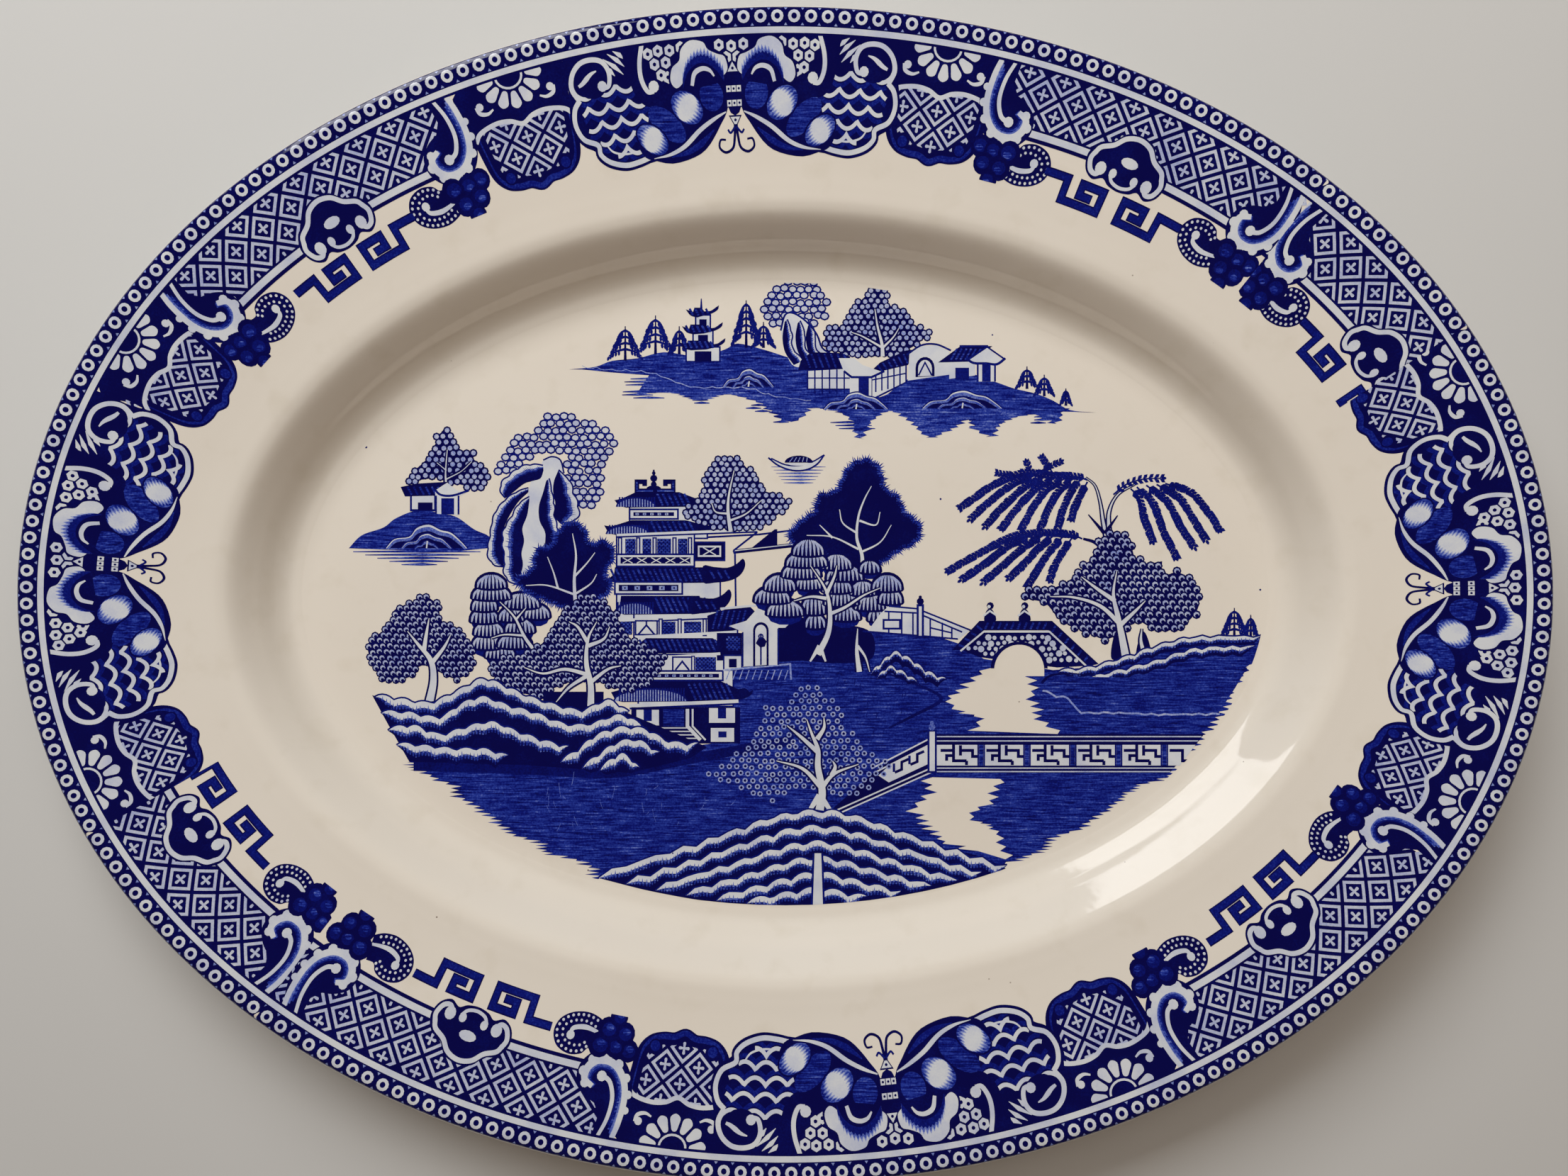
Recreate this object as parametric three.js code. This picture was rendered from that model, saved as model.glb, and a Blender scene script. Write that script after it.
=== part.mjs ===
// An oval earthenware serving platter, decorated under its glaze with transfer prints.
// One piece of fired clay carries five printed tissues, and a thin coat of glaze seals them in.
// Units are millimetres. +X is the long axis, +Y the far side, +Z up.
// The origin is on the table under the middle of the foot ring.
import * as THREE from "three";

// Driving dimensions
const HALF_LENGTH = 203; // a 16 inch platter
const HALF_WIDTH = 155.5;
const LIP_TOP = 30; // overall height
const RIM_THICK = 5;
const FLOOR_TOP = 8.4; // glazed floor of the well
const RECESS_TOP = 3.4; // underside of the floor, inside the foot ring
const GLAZE = 0.3;
const PRINT = 0.1; // ink film, drawn thicker than the real 0.02 mm
const STEPS = 72; // flats round the oval
const FLOOR_EDGE = 67.5; // where the well's fillet meets the flat floor

// Every ring of the platter lies at one distance "inset" inside the outer oval.
// A point of a profile is [inset, z] out on the curved part.
// On the flat middle it is [FLOOR_EDGE, z, share], a share of the floor's own oval.
const lipMiddle = LIP_TOP - RIM_THICK / 2;
const face = [
  [FLOOR_EDGE, FLOOR_TOP, 0],
  [FLOOR_EDGE, FLOOR_TOP, 0.5],
  [FLOOR_EDGE, FLOOR_TOP, 1],
  [64, FLOOR_TOP + 1],
  [61, FLOOR_TOP + 3.3],
  [57.5, FLOOR_TOP + 7.8],
  [53.5, FLOOR_TOP + 12.4],
  [50.5, FLOOR_TOP + 14.2],
  [40, LIP_TOP - 5.9],
  [22, LIP_TOP - 3],
  [6, LIP_TOP - 0.5],
  [2.6, LIP_TOP],
  [1.2, LIP_TOP - 0.4],
  [0.3, LIP_TOP - 1.4],
];
const PRINT_OUTER = 12; // the border print ends at this point of the face, on the lip
const PRINT_INNER = 8; // and at this one, on the rim
const CENTRE_EDGE = 2; // the centre print fills the flat floor
const back = [
  [0, lipMiddle],
  [0.4, LIP_TOP - 4],
  [1.4, LIP_TOP - RIM_THICK + 0.1],
  [6, LIP_TOP - RIM_THICK - 0.4],
  [22, LIP_TOP - RIM_THICK - 2.9],
  [40, LIP_TOP - RIM_THICK - 5.8],
  [48.5, LIP_TOP - RIM_THICK - 7.4],
  [53.5, 13.6],
  [58, 8.6],
  [61.5, 4.8],
  [64, 1.6],
];
const foot = [
  [65.2, 0],
  [69, 0],
];
const recess = [
  [70.4, 1.8],
  [72, 2.8],
  [75, RECESS_TOP],
  [FLOOR_EDGE, RECESS_TOP, 0.4],
  [FLOOR_EDGE, RECESS_TOP, 0],
];

const radius = ([inset, , share = 1]) => (HALF_LENGTH - inset) * share;

// Moves each point of a profile towards the clay by a distance.
// The clay is on the right hand of the way that the profile runs.
function sunk(profile, distance) {
  return profile.map((point, i) => {
    const before = profile[Math.max(i - 1, 0)];
    const after = profile[Math.min(i + 1, profile.length - 1)];
    const along = new THREE.Vector2(
      radius(after) - radius(before),
      after[1] - before[1],
    ).normalize();
    const [inset, z, share] = point;
    const flat = share !== undefined;
    return [
      flat ? inset : inset - along.y * distance,
      z - along.x * distance,
      share,
    ];
  });
}

const raised = (profile, height) =>
  profile.map(([inset, z, share]) => [inset, z + height, share]);

// The point of the oval ring at one step of the way round, clockwise from the far side.
function onOval([inset, z, share = 1], step) {
  const turn = (step / STEPS) * 2 * Math.PI;
  const normal = new THREE.Vector2(
    HALF_WIDTH * Math.sin(turn),
    HALF_LENGTH * Math.cos(turn),
  ).normalize();
  return new THREE.Vector3(
    (HALF_LENGTH * Math.sin(turn) - normal.x * inset) * share,
    (HALF_WIDTH * Math.cos(turn) - normal.y * inset) * share,
    z,
  );
}

// Sweeps a profile round the oval from one step to another.
// A whole turn starts and ends on the axis, and a part turn is a closed loop with two end caps.
function swept(profile, first = 0, last = STEPS) {
  const whole = last - first === STEPS;
  const columns = whole ? STEPS : last - first + 1;
  const position = [];
  const index = [];
  const ids = profile.map((point) => {
    const atAxis = point[2] === 0;
    return Array.from({ length: columns }, (_, c) => {
      if (atAxis && c > 0) return position.length / 3 - 1;
      position.push(...onOval(point, (first + c) % STEPS).toArray());
      return position.length / 3 - 1;
    });
  });
  const triangle = (a, b, c) => {
    if (a !== b && b !== c && c !== a) index.push(a, b, c);
  };
  const rows = whole ? profile.length - 1 : profile.length;
  for (let r = 0; r < rows; r++) {
    const near = ids[r];
    const far = ids[(r + 1) % profile.length];
    // Both sides of a shared surface split their quads the same way, so that they fit.
    const outward = radius(profile[(r + 1) % profile.length]) > radius(profile[r]);
    for (let c = 0; c < last - first; c++) {
      const d = (c + 1) % columns;
      triangle(near[c], outward ? far[d] : near[d], far[c]);
      triangle(outward ? near[c] : far[c], near[d], far[d]);
    }
  }
  if (!whole) {
    const outline = profile.map(
      ([inset, z]) => new THREE.Vector2(HALF_LENGTH - inset, z),
    );
    for (const [a, b, c] of THREE.ShapeUtils.triangulateShape(outline, [])) {
      triangle(ids[a][0], ids[c][0], ids[b][0]);
      triangle(ids[a][columns - 1], ids[b][columns - 1], ids[c][columns - 1]);
    }
  }
  const geometry = new THREE.BufferGeometry();
  geometry.setAttribute(
    "position",
    new THREE.Float32BufferAttribute(position, 3),
  );
  geometry.setIndex(index);
  geometry.computeVertexNormals();
  return geometry;
}

// The clay under the glaze. Only the foot's bottom edge is bare.
const clay = sunk([...face, ...back, ...foot, ...recess], GLAZE);
const clayFace = clay.slice(0, face.length);
const clayBack = clay.slice(face.length, face.length + back.length);
const clayRecess = clay.slice(-recess.length);
const bandUnder = clayFace.slice(PRINT_INNER, PRINT_OUTER + 1);
const centreUnder = clayFace.slice(0, CENTRE_EDGE + 1);

const earthenware = new THREE.MeshStandardMaterial({
  color: 0xe9e0cf,
  roughness: 0.8,
  metalness: 0,
});
const glaze = new THREE.MeshStandardMaterial({
  color: 0xeee6d8,
  roughness: 0.12,
  metalness: 0,
});
const cobalt = new THREE.MeshStandardMaterial({
  color: 0x16248a,
  roughness: 0.15,
  metalness: 0,
});

const platter = new THREE.Group();

function add(name, geometry, material) {
  const mesh = new THREE.Mesh(geometry, material);
  mesh.name = name;
  platter.add(mesh);
}

// One pressed piece: floor, wall, rim, lip and foot ring.
add("earthenware_body", swept([...clayFace, ...clayBack, ...foot, ...clayRecess]), earthenware);

// The centre tissue, a film on the floor of the well.
const centreOver = raised(centreUnder, PRINT);
add("centre_scene_print", swept([...centreOver, ...centreUnder.toReversed()]), cobalt);

// The border was laid in two long tissues and two short fillers, which meet at four joins.
const bandOver = raised(bandUnder, PRINT);
const bandLoop = [...bandOver, ...bandUnder.toReversed()];
const JOINS = {
  border_print_far_filler: [9, 13],
  border_print_near_right: [13, 45],
  border_print_near_filler: [45, 49],
  border_print_far_left: [49, 81],
};
for (const [name, [first, last]] of Object.entries(JOINS))
  add(name, swept(bandLoop, first, last), cobalt);

// The glaze runs over the prints, round the lip and down the back to the foot.
const underFace = [
  ...centreOver,
  centreUnder.at(-1),
  ...clayFace.slice(CENTRE_EDGE + 1, PRINT_INNER + 1),
  ...bandOver,
  ...clayFace.slice(PRINT_OUTER),
  ...clayBack,
];
add("glaze_coat", swept([...face, ...back, ...underFace.toReversed()]), glaze);

// Inside the foot ring is a second pool of glaze, cut off from the first by the wiped foot.
add("glaze_recess", swept([...clayRecess.toReversed(), ...recess]), glaze);

export default platter;
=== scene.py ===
# A blue and white earthenware platter: the glazed body, the bare clay of its foot, and five
# under-glaze transfer prints, each a thin film cut to the shapes that the engraver drew.
import math

import bpy
import numpy as np
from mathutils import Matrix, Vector
from mathutils.geometry import delaunay_2d_cdt


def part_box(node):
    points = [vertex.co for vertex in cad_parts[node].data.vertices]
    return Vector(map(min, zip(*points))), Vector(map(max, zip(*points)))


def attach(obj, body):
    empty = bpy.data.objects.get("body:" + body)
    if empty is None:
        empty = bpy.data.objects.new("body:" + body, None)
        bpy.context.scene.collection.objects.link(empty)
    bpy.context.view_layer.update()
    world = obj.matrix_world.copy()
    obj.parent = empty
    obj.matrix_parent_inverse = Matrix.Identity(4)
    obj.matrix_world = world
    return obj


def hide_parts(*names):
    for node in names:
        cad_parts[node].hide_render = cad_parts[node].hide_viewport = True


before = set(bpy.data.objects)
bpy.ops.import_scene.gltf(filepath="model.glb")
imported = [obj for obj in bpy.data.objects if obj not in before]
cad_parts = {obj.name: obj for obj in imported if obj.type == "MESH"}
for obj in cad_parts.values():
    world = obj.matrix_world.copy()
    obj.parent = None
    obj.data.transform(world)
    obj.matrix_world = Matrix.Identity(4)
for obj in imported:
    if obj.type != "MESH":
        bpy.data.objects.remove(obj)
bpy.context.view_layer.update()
random = np.random.default_rng(7)

# ---------------------------------------------------------------- sizes, in millimetres
MM = 0.001
HALF_LENGTH, HALF_WIDTH, LIP_TOP = (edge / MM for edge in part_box("glaze_coat")[1])
GLAZE_OVER_PRINT = 0.1  # from the print's top in the CAD to the face of the glaze
FLOOR_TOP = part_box("centre_scene_print")[1].z / MM + GLAZE_OVER_PRINT
RECESS_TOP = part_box("glaze_recess")[1].z / MM
FLOOR_EDGE = HALF_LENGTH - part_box("centre_scene_print")[1].x / MM  # in from the outer oval
RIM_THICK = 5
GLAZE = 0.3  # the thickness of a coat
FILM_LIFT = 0.04  # the ink's top above the glaze around it
LIP_LIFT = 0.12  # more of it on the round lip, where the film's flat faces would sink in
LIP_REACH = 3.5  # how far in from the edge the extra lift fades out
SADDLE, TWIST, RIPPLE, SAG = 0.12, 0.25, 0.06, 0.3  # how the kiln warps the rim
FLOOR_MARGIN = 0.6  # bare floor round the centre scene's film
SCENE_UNIT = 1.213  # the centre scene's drawing unit
BORDER_DEPTH_UNIT = 1.1  # the border's drawing unit, inward from the lip

# ---------------------------------------------------------------- counts and small margins
ROUND_STEPS = 360  # round the platter
FLOOR_RINGS = (0.97, 0.9, 0.75, 0.5, 0.25)  # shares of a flat floor's outline, inward
BORDER_ROUND = 991  # the border's drawing units, all the way round the lip
TINY = 1e-9  # keeps a division from meeting zero


def curve(points, steps=6, closed=False):
    """A smooth line through a few points (Catmull-Rom)."""
    p = np.array(points, float)
    if closed:
        p = np.vstack([p[-1], p, p[0], p[1]])
    else:
        p = np.vstack([2 * p[0] - p[1], p, 2 * p[-1] - p[-2]])
    t = np.arange(steps)[:, None] / steps
    spans = [
        0.5 * (2 * b + (c - a) * t + (2 * a - 5 * b + 4 * c - d) * t**2 + (3 * b - a - 3 * c + d) * t**3)
        for a, b, c, d in zip(p, p[1:], p[2:], p[3:])
    ]
    if not closed:
        spans.append(p[-2:-1])
    return np.vstack(spans)


# ---------------------------------------------------------------- the shape of the platter
# Points of a profile are (inset from the outer oval, height).
FACE = curve(
    [
        (FLOOR_EDGE, FLOOR_TOP),
        (64, FLOOR_TOP + 0.9),
        (61, FLOOR_TOP + 3.3),
        (57.5, FLOOR_TOP + 7.9),
        (53.5, FLOOR_TOP + 12.5),
        (50.3, FLOOR_TOP + 14.3),
        (46, LIP_TOP - 6.7),
        (40, LIP_TOP - 5.9),
        (22, LIP_TOP - 3),
        (6, LIP_TOP - 0.5),
        (2.8, LIP_TOP),
        (1.2, LIP_TOP - 0.3),
        (0.3, LIP_TOP - 1.3),
    ],
    8,
)
BACK = curve(
    [
        (0, LIP_TOP - RIM_THICK / 2),
        (0.3, LIP_TOP - 3.8),
        (1.4, LIP_TOP - RIM_THICK + 0.1),
        (6, LIP_TOP - RIM_THICK - 0.4),
        (22, LIP_TOP - RIM_THICK - 2.9),
        (40, LIP_TOP - RIM_THICK - 5.8),
        (48.5, LIP_TOP - RIM_THICK - 7.4),
        (53.5, 13.6),
        (58, 8.6),
        (61.5, 4.8),
        (64, 1.6),
    ],
    5,
)
FOOT = curve([(64.5, 0.8), (65.3, 0.1), (66.2, 0), (68.4, 0), (69.4, 0.4), (70.2, 1.4)], 3).clip(0)
RECESS = curve([(70.4, 1.8), (72, 2.9), (75, RECESS_TOP), (80, RECESS_TOP)], 5)


def oval(turn):
    """Points of the outer oval and its outward normals, clockwise from the far side."""
    normal = np.stack([HALF_WIDTH * np.sin(turn), HALF_LENGTH * np.cos(turn)], -1)
    normal /= np.linalg.norm(normal, axis=-1, keepdims=True)
    return np.stack([HALF_LENGTH * np.sin(turn), HALF_WIDTH * np.cos(turn)], -1), normal


def height(inset):
    """Height of the glazed face at an inset from the outer oval."""
    return np.interp(inset, FACE[::-1, 0], FACE[::-1, 1])


def warp(points):
    """The slight twist that the kiln gives the rim. The foot stays flat."""
    x, y, z = points[:, 0] / HALF_LENGTH, points[:, 1] / HALF_WIDTH, points[:, 2]
    drop = SADDLE * (x * x - y * y) + TWIST * x * y + RIPPLE * np.sin(5 * x + 3 * y) + SAG
    moved = points.copy()
    moved[:, 2] -= np.clip(z - FLOOR_TOP, 0, None) / (LIP_TOP - FLOOR_TOP) * drop
    return moved


def make_piece(name, points, faces):
    """A smooth mesh from points in millimetres, fixed to the platter's one body."""
    mesh = bpy.data.meshes.new(name)
    mesh.from_pydata((points * MM).tolist(), [], faces)
    mesh.shade_smooth()
    piece = bpy.data.objects.new(name, mesh)
    bpy.context.scene.collection.objects.link(piece)
    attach(piece, "root")
    return piece


def sunk(profile, depth):
    """Moves a profile into the clay, which lies on the right hand of the way it runs."""
    along = np.gradient(profile, axis=0) * (-1, 1)
    along /= np.linalg.norm(along, axis=1, keepdims=True)
    return profile - along[:, ::-1] * depth


def swept(profile):
    """Sweeps a profile round the oval. Its first and last rings are filled with flat floors."""
    turn = np.arange(ROUND_STEPS) / ROUND_STEPS * 2 * math.pi
    edge, normal = oval(turn)
    rings = [np.c_[edge - normal * inset, np.full(ROUND_STEPS, z)] for inset, z in profile]
    inner = [rings[0] * (share, share, 1) for share in FLOOR_RINGS[::-1]]
    rings = inner + rings + [rings[-1] * (share, share, 1) for share in FLOOR_RINGS]
    middles = [(0, 0, rings[0][0, 2]), (0, 0, rings[-1][0, 2])]
    points = np.vstack(rings + [middles])
    faces = []
    last = (len(rings) - 1) * ROUND_STEPS
    for c in range(ROUND_STEPS):
        d = (c + 1) % ROUND_STEPS
        for near in range(0, last, ROUND_STEPS):
            far = near + ROUND_STEPS
            faces.append((near + c, near + d, far + d, far + c))
        faces.append((len(points) - 2, d, c))
        faces.append((len(points) - 1, last + c, last + d))
    return warp(points), faces


def make_body():
    """The fired clay. Only the foot's bottom is bare."""
    outside = sunk(np.vstack([FACE, BACK]), GLAZE)
    profile = np.vstack([outside, FOOT, sunk(RECESS, GLAZE)])
    piece = make_piece("fired_clay_body", *swept(profile))
    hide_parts("earthenware_body")
    return piece


def make_glaze():
    """Two coats of glaze, one over the face and back and one inside the foot ring."""
    outside = np.vstack([FACE, BACK])
    main = make_piece("glaze_face_and_back", *swept(np.vstack([outside, sunk(outside, GLAZE)[::-1]])))
    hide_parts("glaze_coat")
    recess = make_piece("glaze_under_floor", *swept(np.vstack([sunk(RECESS, GLAZE)[::-1], RECESS])))
    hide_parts("glaze_recess")
    return main, recess


# ---------------------------------------------------------------- the engraver's tools
# A design is a list of closed outlines, each with an ink strength from 0 to 1, solid.
# Later outlines cover earlier ones. Where the last one is clear, the film is cut away.
CLEAR, BARE, PALE, SOFT, MID, STRONG, SOLID = 0, 0.02, 0.22, 0.4, 0.6, 0.8, 1
SPREAD = 0.08  # how much wider a dark stroke is than it was cut, and a pale one narrower
THINNEST = 0.1  # the narrowest stroke
FINE_LINE, FINE_INK = 0.55, 0.82  # strokes narrower than the first hold no more ink than the second
SHARPEST = 0.5  # a stroke is at most twice as wide at a bend as along it
MERGE = 1e-3  # points of a design nearer than this become one


def arc(x, y, rx, ry=None, start=0, end=360, steps=12):
    """Points of an arc of an oval, in degrees. A whole turn leaves out its last point."""
    ry = rx if ry is None else ry
    whole = abs(end - start) == 360
    turn = np.radians(np.linspace(start, end, steps, endpoint=not whole))
    return np.stack([x + rx * np.cos(turn), y + ry * np.sin(turn)], -1)


def box(x0, y0, x1, y1):
    """The corners of a rectangle."""
    return np.array([(x0, y0), (x1, y0), (x1, y1), (x0, y1)], float)


def mirrored(half):
    """The closed outline whose right half is given, from its middle line round to it again."""
    half = np.array(half, float)
    back = (half * (-1, 1))[::-1]
    return np.vstack([half, back[abs(back[:, 0]) > 0]])


def unit(steps):
    """The same directions, each one long."""
    return steps / (np.linalg.norm(steps, axis=1, keepdims=True) + TINY)


def both_ways(half):
    """The line whose one half is given, from an end to the middle, and on to the other end."""
    return half + [(-x, y) for x, y in half[-2::-1]]


def ribbon(path, width, closed=False):
    """The outline of a stroke. Its width may be a list, which is spread along it."""
    p = np.array(path, float)
    ahead = np.roll(p, -1, 0) - p
    behind = np.roll(ahead, 1, 0)
    if not closed:
        ahead[-1], behind[0] = behind[-1], ahead[0]
    ahead, behind = unit(ahead), unit(behind)
    along = unit(ahead + behind)
    stretch = 1 / np.maximum((along * ahead).sum(1), SHARPEST)
    widths = np.atleast_1d(np.array(width, float))
    half = np.interp(np.linspace(0, 1, len(p)), np.linspace(0, 1, len(widths)), widths) / 2
    side = np.c_[-along[:, 1], along[:, 0]] * (stretch * half)[:, None]
    left, right = p + side, p - side
    if closed:
        return np.vstack([left, left[:1], right[:1], right[::-1]])
    return np.vstack([left, right[::-1]])


def run_lengths(path):
    """How far along a path each of its points lies."""
    return np.r_[0, np.cumsum(np.linalg.norm(np.diff(path, axis=0), axis=1))]


def point_at(path, lengths, distance):
    """The point that lies at a distance along a path."""
    return [np.interp(distance, lengths, axis) for axis in path.T]


class Pen:
    """Draws on a design, in a frame of its own that may be moved, turned, scaled or flipped."""

    def __init__(self, shapes, matrix=np.eye(3)):
        self.shapes, self.matrix = shapes, matrix

    def at(self, x, y, size=1, flip=1, turn=0):
        """A pen whose own frame is placed in this one. Its turn is in degrees."""
        c, s = math.cos(math.radians(turn)) * size, math.sin(math.radians(turn)) * size
        return Pen(self.shapes, self.matrix @ [[c * flip, -s, x], [s * flip, c, y], [0, 0, 1]])

    def fill(self, outline, ink=SOLID):
        """A filled outline, given as its corners."""
        self.shapes.append((np.array(outline, float) @ self.matrix[:2, :2].T + self.matrix[:2, 2], ink))

    def line(self, path, width, ink=SOLID, closed=False):
        """A stroke. A fine one holds less ink than a broad one."""
        fine = np.max(width) < FINE_LINE
        grown = np.maximum(np.add(width, SPREAD if ink > SOFT else -SPREAD), THINNEST)
        self.fill(ribbon(path, grown, closed), min(ink, FINE_INK) if fine else ink)

    def bend(self, path, width, ink=SOLID, steps=6):
        """A stroke along the smooth line through a few points."""
        self.line(curve(path, steps), width, ink)

    def blob(self, outline, ink=SOLID, steps=6):
        """A filled smooth outline through a few points."""
        self.fill(curve(outline, steps, closed=True), ink)

    def dot(self, x, y, r, ink=SOLID, steps=10):
        """A filled circle."""
        self.fill(arc(x, y, r, steps=steps), ink)

    def oval(self, x, y, rx, ry, ink=SOLID, steps=12):
        """A filled oval."""
        self.fill(arc(x, y, rx, ry, steps=steps), ink)


def inside(points, outline):
    """Which points lie inside an outline, by its winding number."""
    x, y = points[:, :1], points[:, 1:]
    x0, y0 = outline.T
    x1, y1 = np.roll(outline, -1, 0).T
    side = (x1 - x0) * (y - y0) - (x - x0) * (y1 - y0)
    turns = ((y0 <= y) & (y < y1) & (side > 0)).sum(1) - ((y1 <= y) & (y < y0) & (side < 0)).sum(1)
    return turns != 0


def divided(outline, longest):
    """The same outline with its long edges divided, so that they can follow a curved surface."""
    ends = np.roll(outline, -1, 0)
    counts = np.ceil(np.linalg.norm(ends - outline, axis=1) / longest).astype(int).clip(1)
    return np.vstack([a + (b - a) * np.arange(n)[:, None] / n for a, b, n in zip(outline, ends, counts)])


def cut_film(name, shapes, limit, fill_points, lay, longest, *nodes):
    """Cuts a design's inked areas out of one flat film and lays them on the glazed face."""
    shapes = [(divided(outline, longest), strength) for outline, strength in shapes]
    loops = [divided(limit, longest)] + [outline for outline, _ in shapes]
    corners = np.vstack(loops + [fill_points])
    edges, start = [], 0
    for loop in loops:
        edges += [(start + i, start + (i + 1) % len(loop)) for i in range(len(loop))]
        start += len(loop)
    found = delaunay_2d_cdt([Vector(p) for p in corners], edges, [], 0, MERGE, False)
    points, faces = np.array(found[0]), np.array(found[2])
    middle = points[faces].mean(1)
    order = np.argsort(middle[:, 0])
    middle, faces = middle[order], faces[order]
    ink = np.zeros(len(faces), np.float32)
    for outline, strength in shapes:
        (left, low), (right, high) = outline.min(0), outline.max(0)
        a, b = np.searchsorted(middle[:, 0], (left, right))
        near = np.arange(a, b)[(middle[a:b, 1] >= low) & (middle[a:b, 1] <= high)]
        ink[near[inside(middle[near], outline)]] = strength
    kept = (ink > CLEAR) & inside(middle, limit)
    used, index = np.unique(faces[kept], return_inverse=True)
    place, normals = lay(points[used])
    faces = index.reshape(-1, 3)
    a, b, c = (place[corner] for corner in faces.T)
    downward = np.cross(b - a, c - a)[:, 2] < 0
    faces[downward] = faces[downward, ::-1]
    piece = make_piece(name, place, faces.tolist())
    strengths = piece.data.attributes.new("ink", "FLOAT", "FACE")
    strengths.data.foreach_set("value", ink[kept])
    piece.data.normals_split_custom_set_from_vertices(normals.tolist())
    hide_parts(*nodes)
    return piece


def lay_on_floor(points):
    """Places the centre scene's points, and their normals, on the flat floor of the well."""
    place = np.c_[points * SCENE_UNIT, np.full(len(points), FLOOR_TOP + FILM_LIFT)]
    return place, np.tile((0.0, 0.0, 1.0), (len(points), 1))


# Border designs are drawn flat: x runs clockwise along the lip and y inward, away from it.
TURNS = np.linspace(0, 2 * math.pi, 3601)
LIP_LENGTHS = run_lengths(oval(TURNS)[0])
SLOPE_STEP = 0.2


def lay_on_rim(points):
    """Places a border design's points, and their normals, on the rim."""
    along = points[:, 0] / BORDER_ROUND % 1 * LIP_LENGTHS[-1]
    edge, normal = oval(np.interp(along, LIP_LENGTHS, TURNS))
    inset = points[:, 1] * BORDER_DEPTH_UNIT
    place = warp(np.c_[edge - normal * inset[:, None], height(inset)])
    place[:, 2] += FILM_LIFT + LIP_LIFT * np.maximum(0, 1 - inset / LIP_REACH)
    slope = (height(inset + SLOPE_STEP) - height(inset - SLOPE_STEP)) / (2 * SLOPE_STEP)
    normals = np.c_[normal * slope[:, None], np.ones(len(points))]
    return place, normals / np.linalg.norm(normals, axis=1, keepdims=True)


# ---------------------------------------------------------------- the border's motifs
# Depths below the lip, from the outside in, and pitches along it.
BAND_TOP, BAND_FOOT, LINE_FOOT, PANEL_TOP = 0.8, 5.5, 6.9, 7
PANEL_FOOT = 20.8
BORDER_FOOT = 35
RING_PITCH = 3.93
CELL_PITCH, CELL_ROW = 8.85, 4.15
PANEL_SHIFT = 0.37  # moves each panel's cells along by a share of where the panel starts
TINT = 0.03  # the ink that bleeds into narrow bare places
DUSK = 0.1  # the same where dark lines crowd in


def edge_band(pen, start, end):
    """The dark band of rings along the lip, and the line inside it."""
    pen.fill(box(start, BAND_TOP, end, BAND_FOOT))
    pen.fill(box(start, BAND_FOOT, end, LINE_FOOT), TINT)
    pen.fill(box(start, LINE_FOOT, end, PANEL_TOP + 0.5))
    count = round((end - start) / RING_PITCH)
    pitch = (end - start) / count
    for i in range(count):
        x = start + (i + 0.5) * pitch
        pen.line(arc(x, 3.1, 1.05, 1.1, steps=12), 0.84, TINT, closed=True)
        for y, way in ((1.1, 0.6), (5.2, -0.6)):
            pen.fill([(x + pitch / 2 - 0.4, y), (x + pitch / 2 + 0.4, y), (x + pitch / 2, y + way)], PALE)


def diamond(pen, x, y, size=3.76):
    """One cell of the lattice: a bare outline round a flower of four petals."""
    for share, ink in ((1, DUSK), (0.72, SOLID)):
        pen.fill(arc(x, y, size * share, size * share * 0.95, steps=4), ink)
    for turn in range(0, 360, 90):
        petal = pen.at(x, y, turn=turn)
        petal.line([(0, 0), (1.05, 0)], (0.5, 0.8), DUSK)
        petal.dot(1.1, 0, 0.4, DUSK, 7)


def lattice(pen, start, end, phase=0):
    """A long panel of diamonds, with the double line under it."""
    pen.fill(box(start, PANEL_TOP, end, PANEL_FOOT))
    for row in range(4):
        x = start + (phase + row / 2) % 1 * CELL_PITCH - CELL_PITCH
        while x < end + 3:
            if start - 2 < x:
                diamond(pen, x, 8.6 + row * CELL_ROW)
            x += CELL_PITCH
    stripes = ((21.4, 27, CLEAR), (20.9, 22.9, TINT), (20.6, 21.1, SOLID), (22.7, 23.6, SOLID))
    for top, foot, ink in stripes:
        pen.fill(box(start - 5, top, end + 5, foot), ink)


def ruyi(pen):
    """The dark cloud-shaped head on the long panels."""
    head = [
        (0, 13.9), (3.6, 14.8), (6, 17.4), (9, 18.6), (11, 21.9), (10.2, 25.4), (7.6, 27.1), (5, 26.1),
        (3, 27.2), (0, 27.7),
    ]
    pen.blob(mirrored(head), SOLID, 5)
    pen.bend(both_ways([(-9.4, 21.4), (-8.4, 19.6), (-5.5, 18.1), (-3.2, 15.8), (0, 14.9)]), 1.25, TINT)
    for flip in (1, -1):
        side = pen.at(0, 0, flip=flip)
        side.bend([(9.2, 20.8), (9.9, 22.8), (9, 25.1), (7.4, 25.8), (6.2, 25)], (1.25, 1.3, 1.1), TINT)
        side.oval(6.5, 24.1, 1.45, 1.6, TINT)
        side.oval(3, 24.2, 1, 1.15, TINT)
    pen.bend(both_ways([(-3.6, 24.6), (-2.4, 26.1), (0, 26.7)]), 0.9, TINT)
    pen.oval(0, 20.7, 2.3, 1.25, TINT)


def fret(pen):
    """A square spiral on a short arm, drawn with its arm towards -x."""
    spiral = [
        (-11.5, 28.8), (-5, 28.8), (-5, 34), (5.4, 34), (5.4, 29), (-0.6, 29), (-0.6, 31.7), (3, 31.7)
    ]
    pen.line(spiral, 2.1)
    pen.line(spiral[:-1] + [(2.7, 31.7)], 1.4, 0.78)
    for x, y in spiral[1:6]:
        pen.line([(x - 0.95, y - 0.95), (x + 0.95, y + 0.95)], 0.22)


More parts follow.
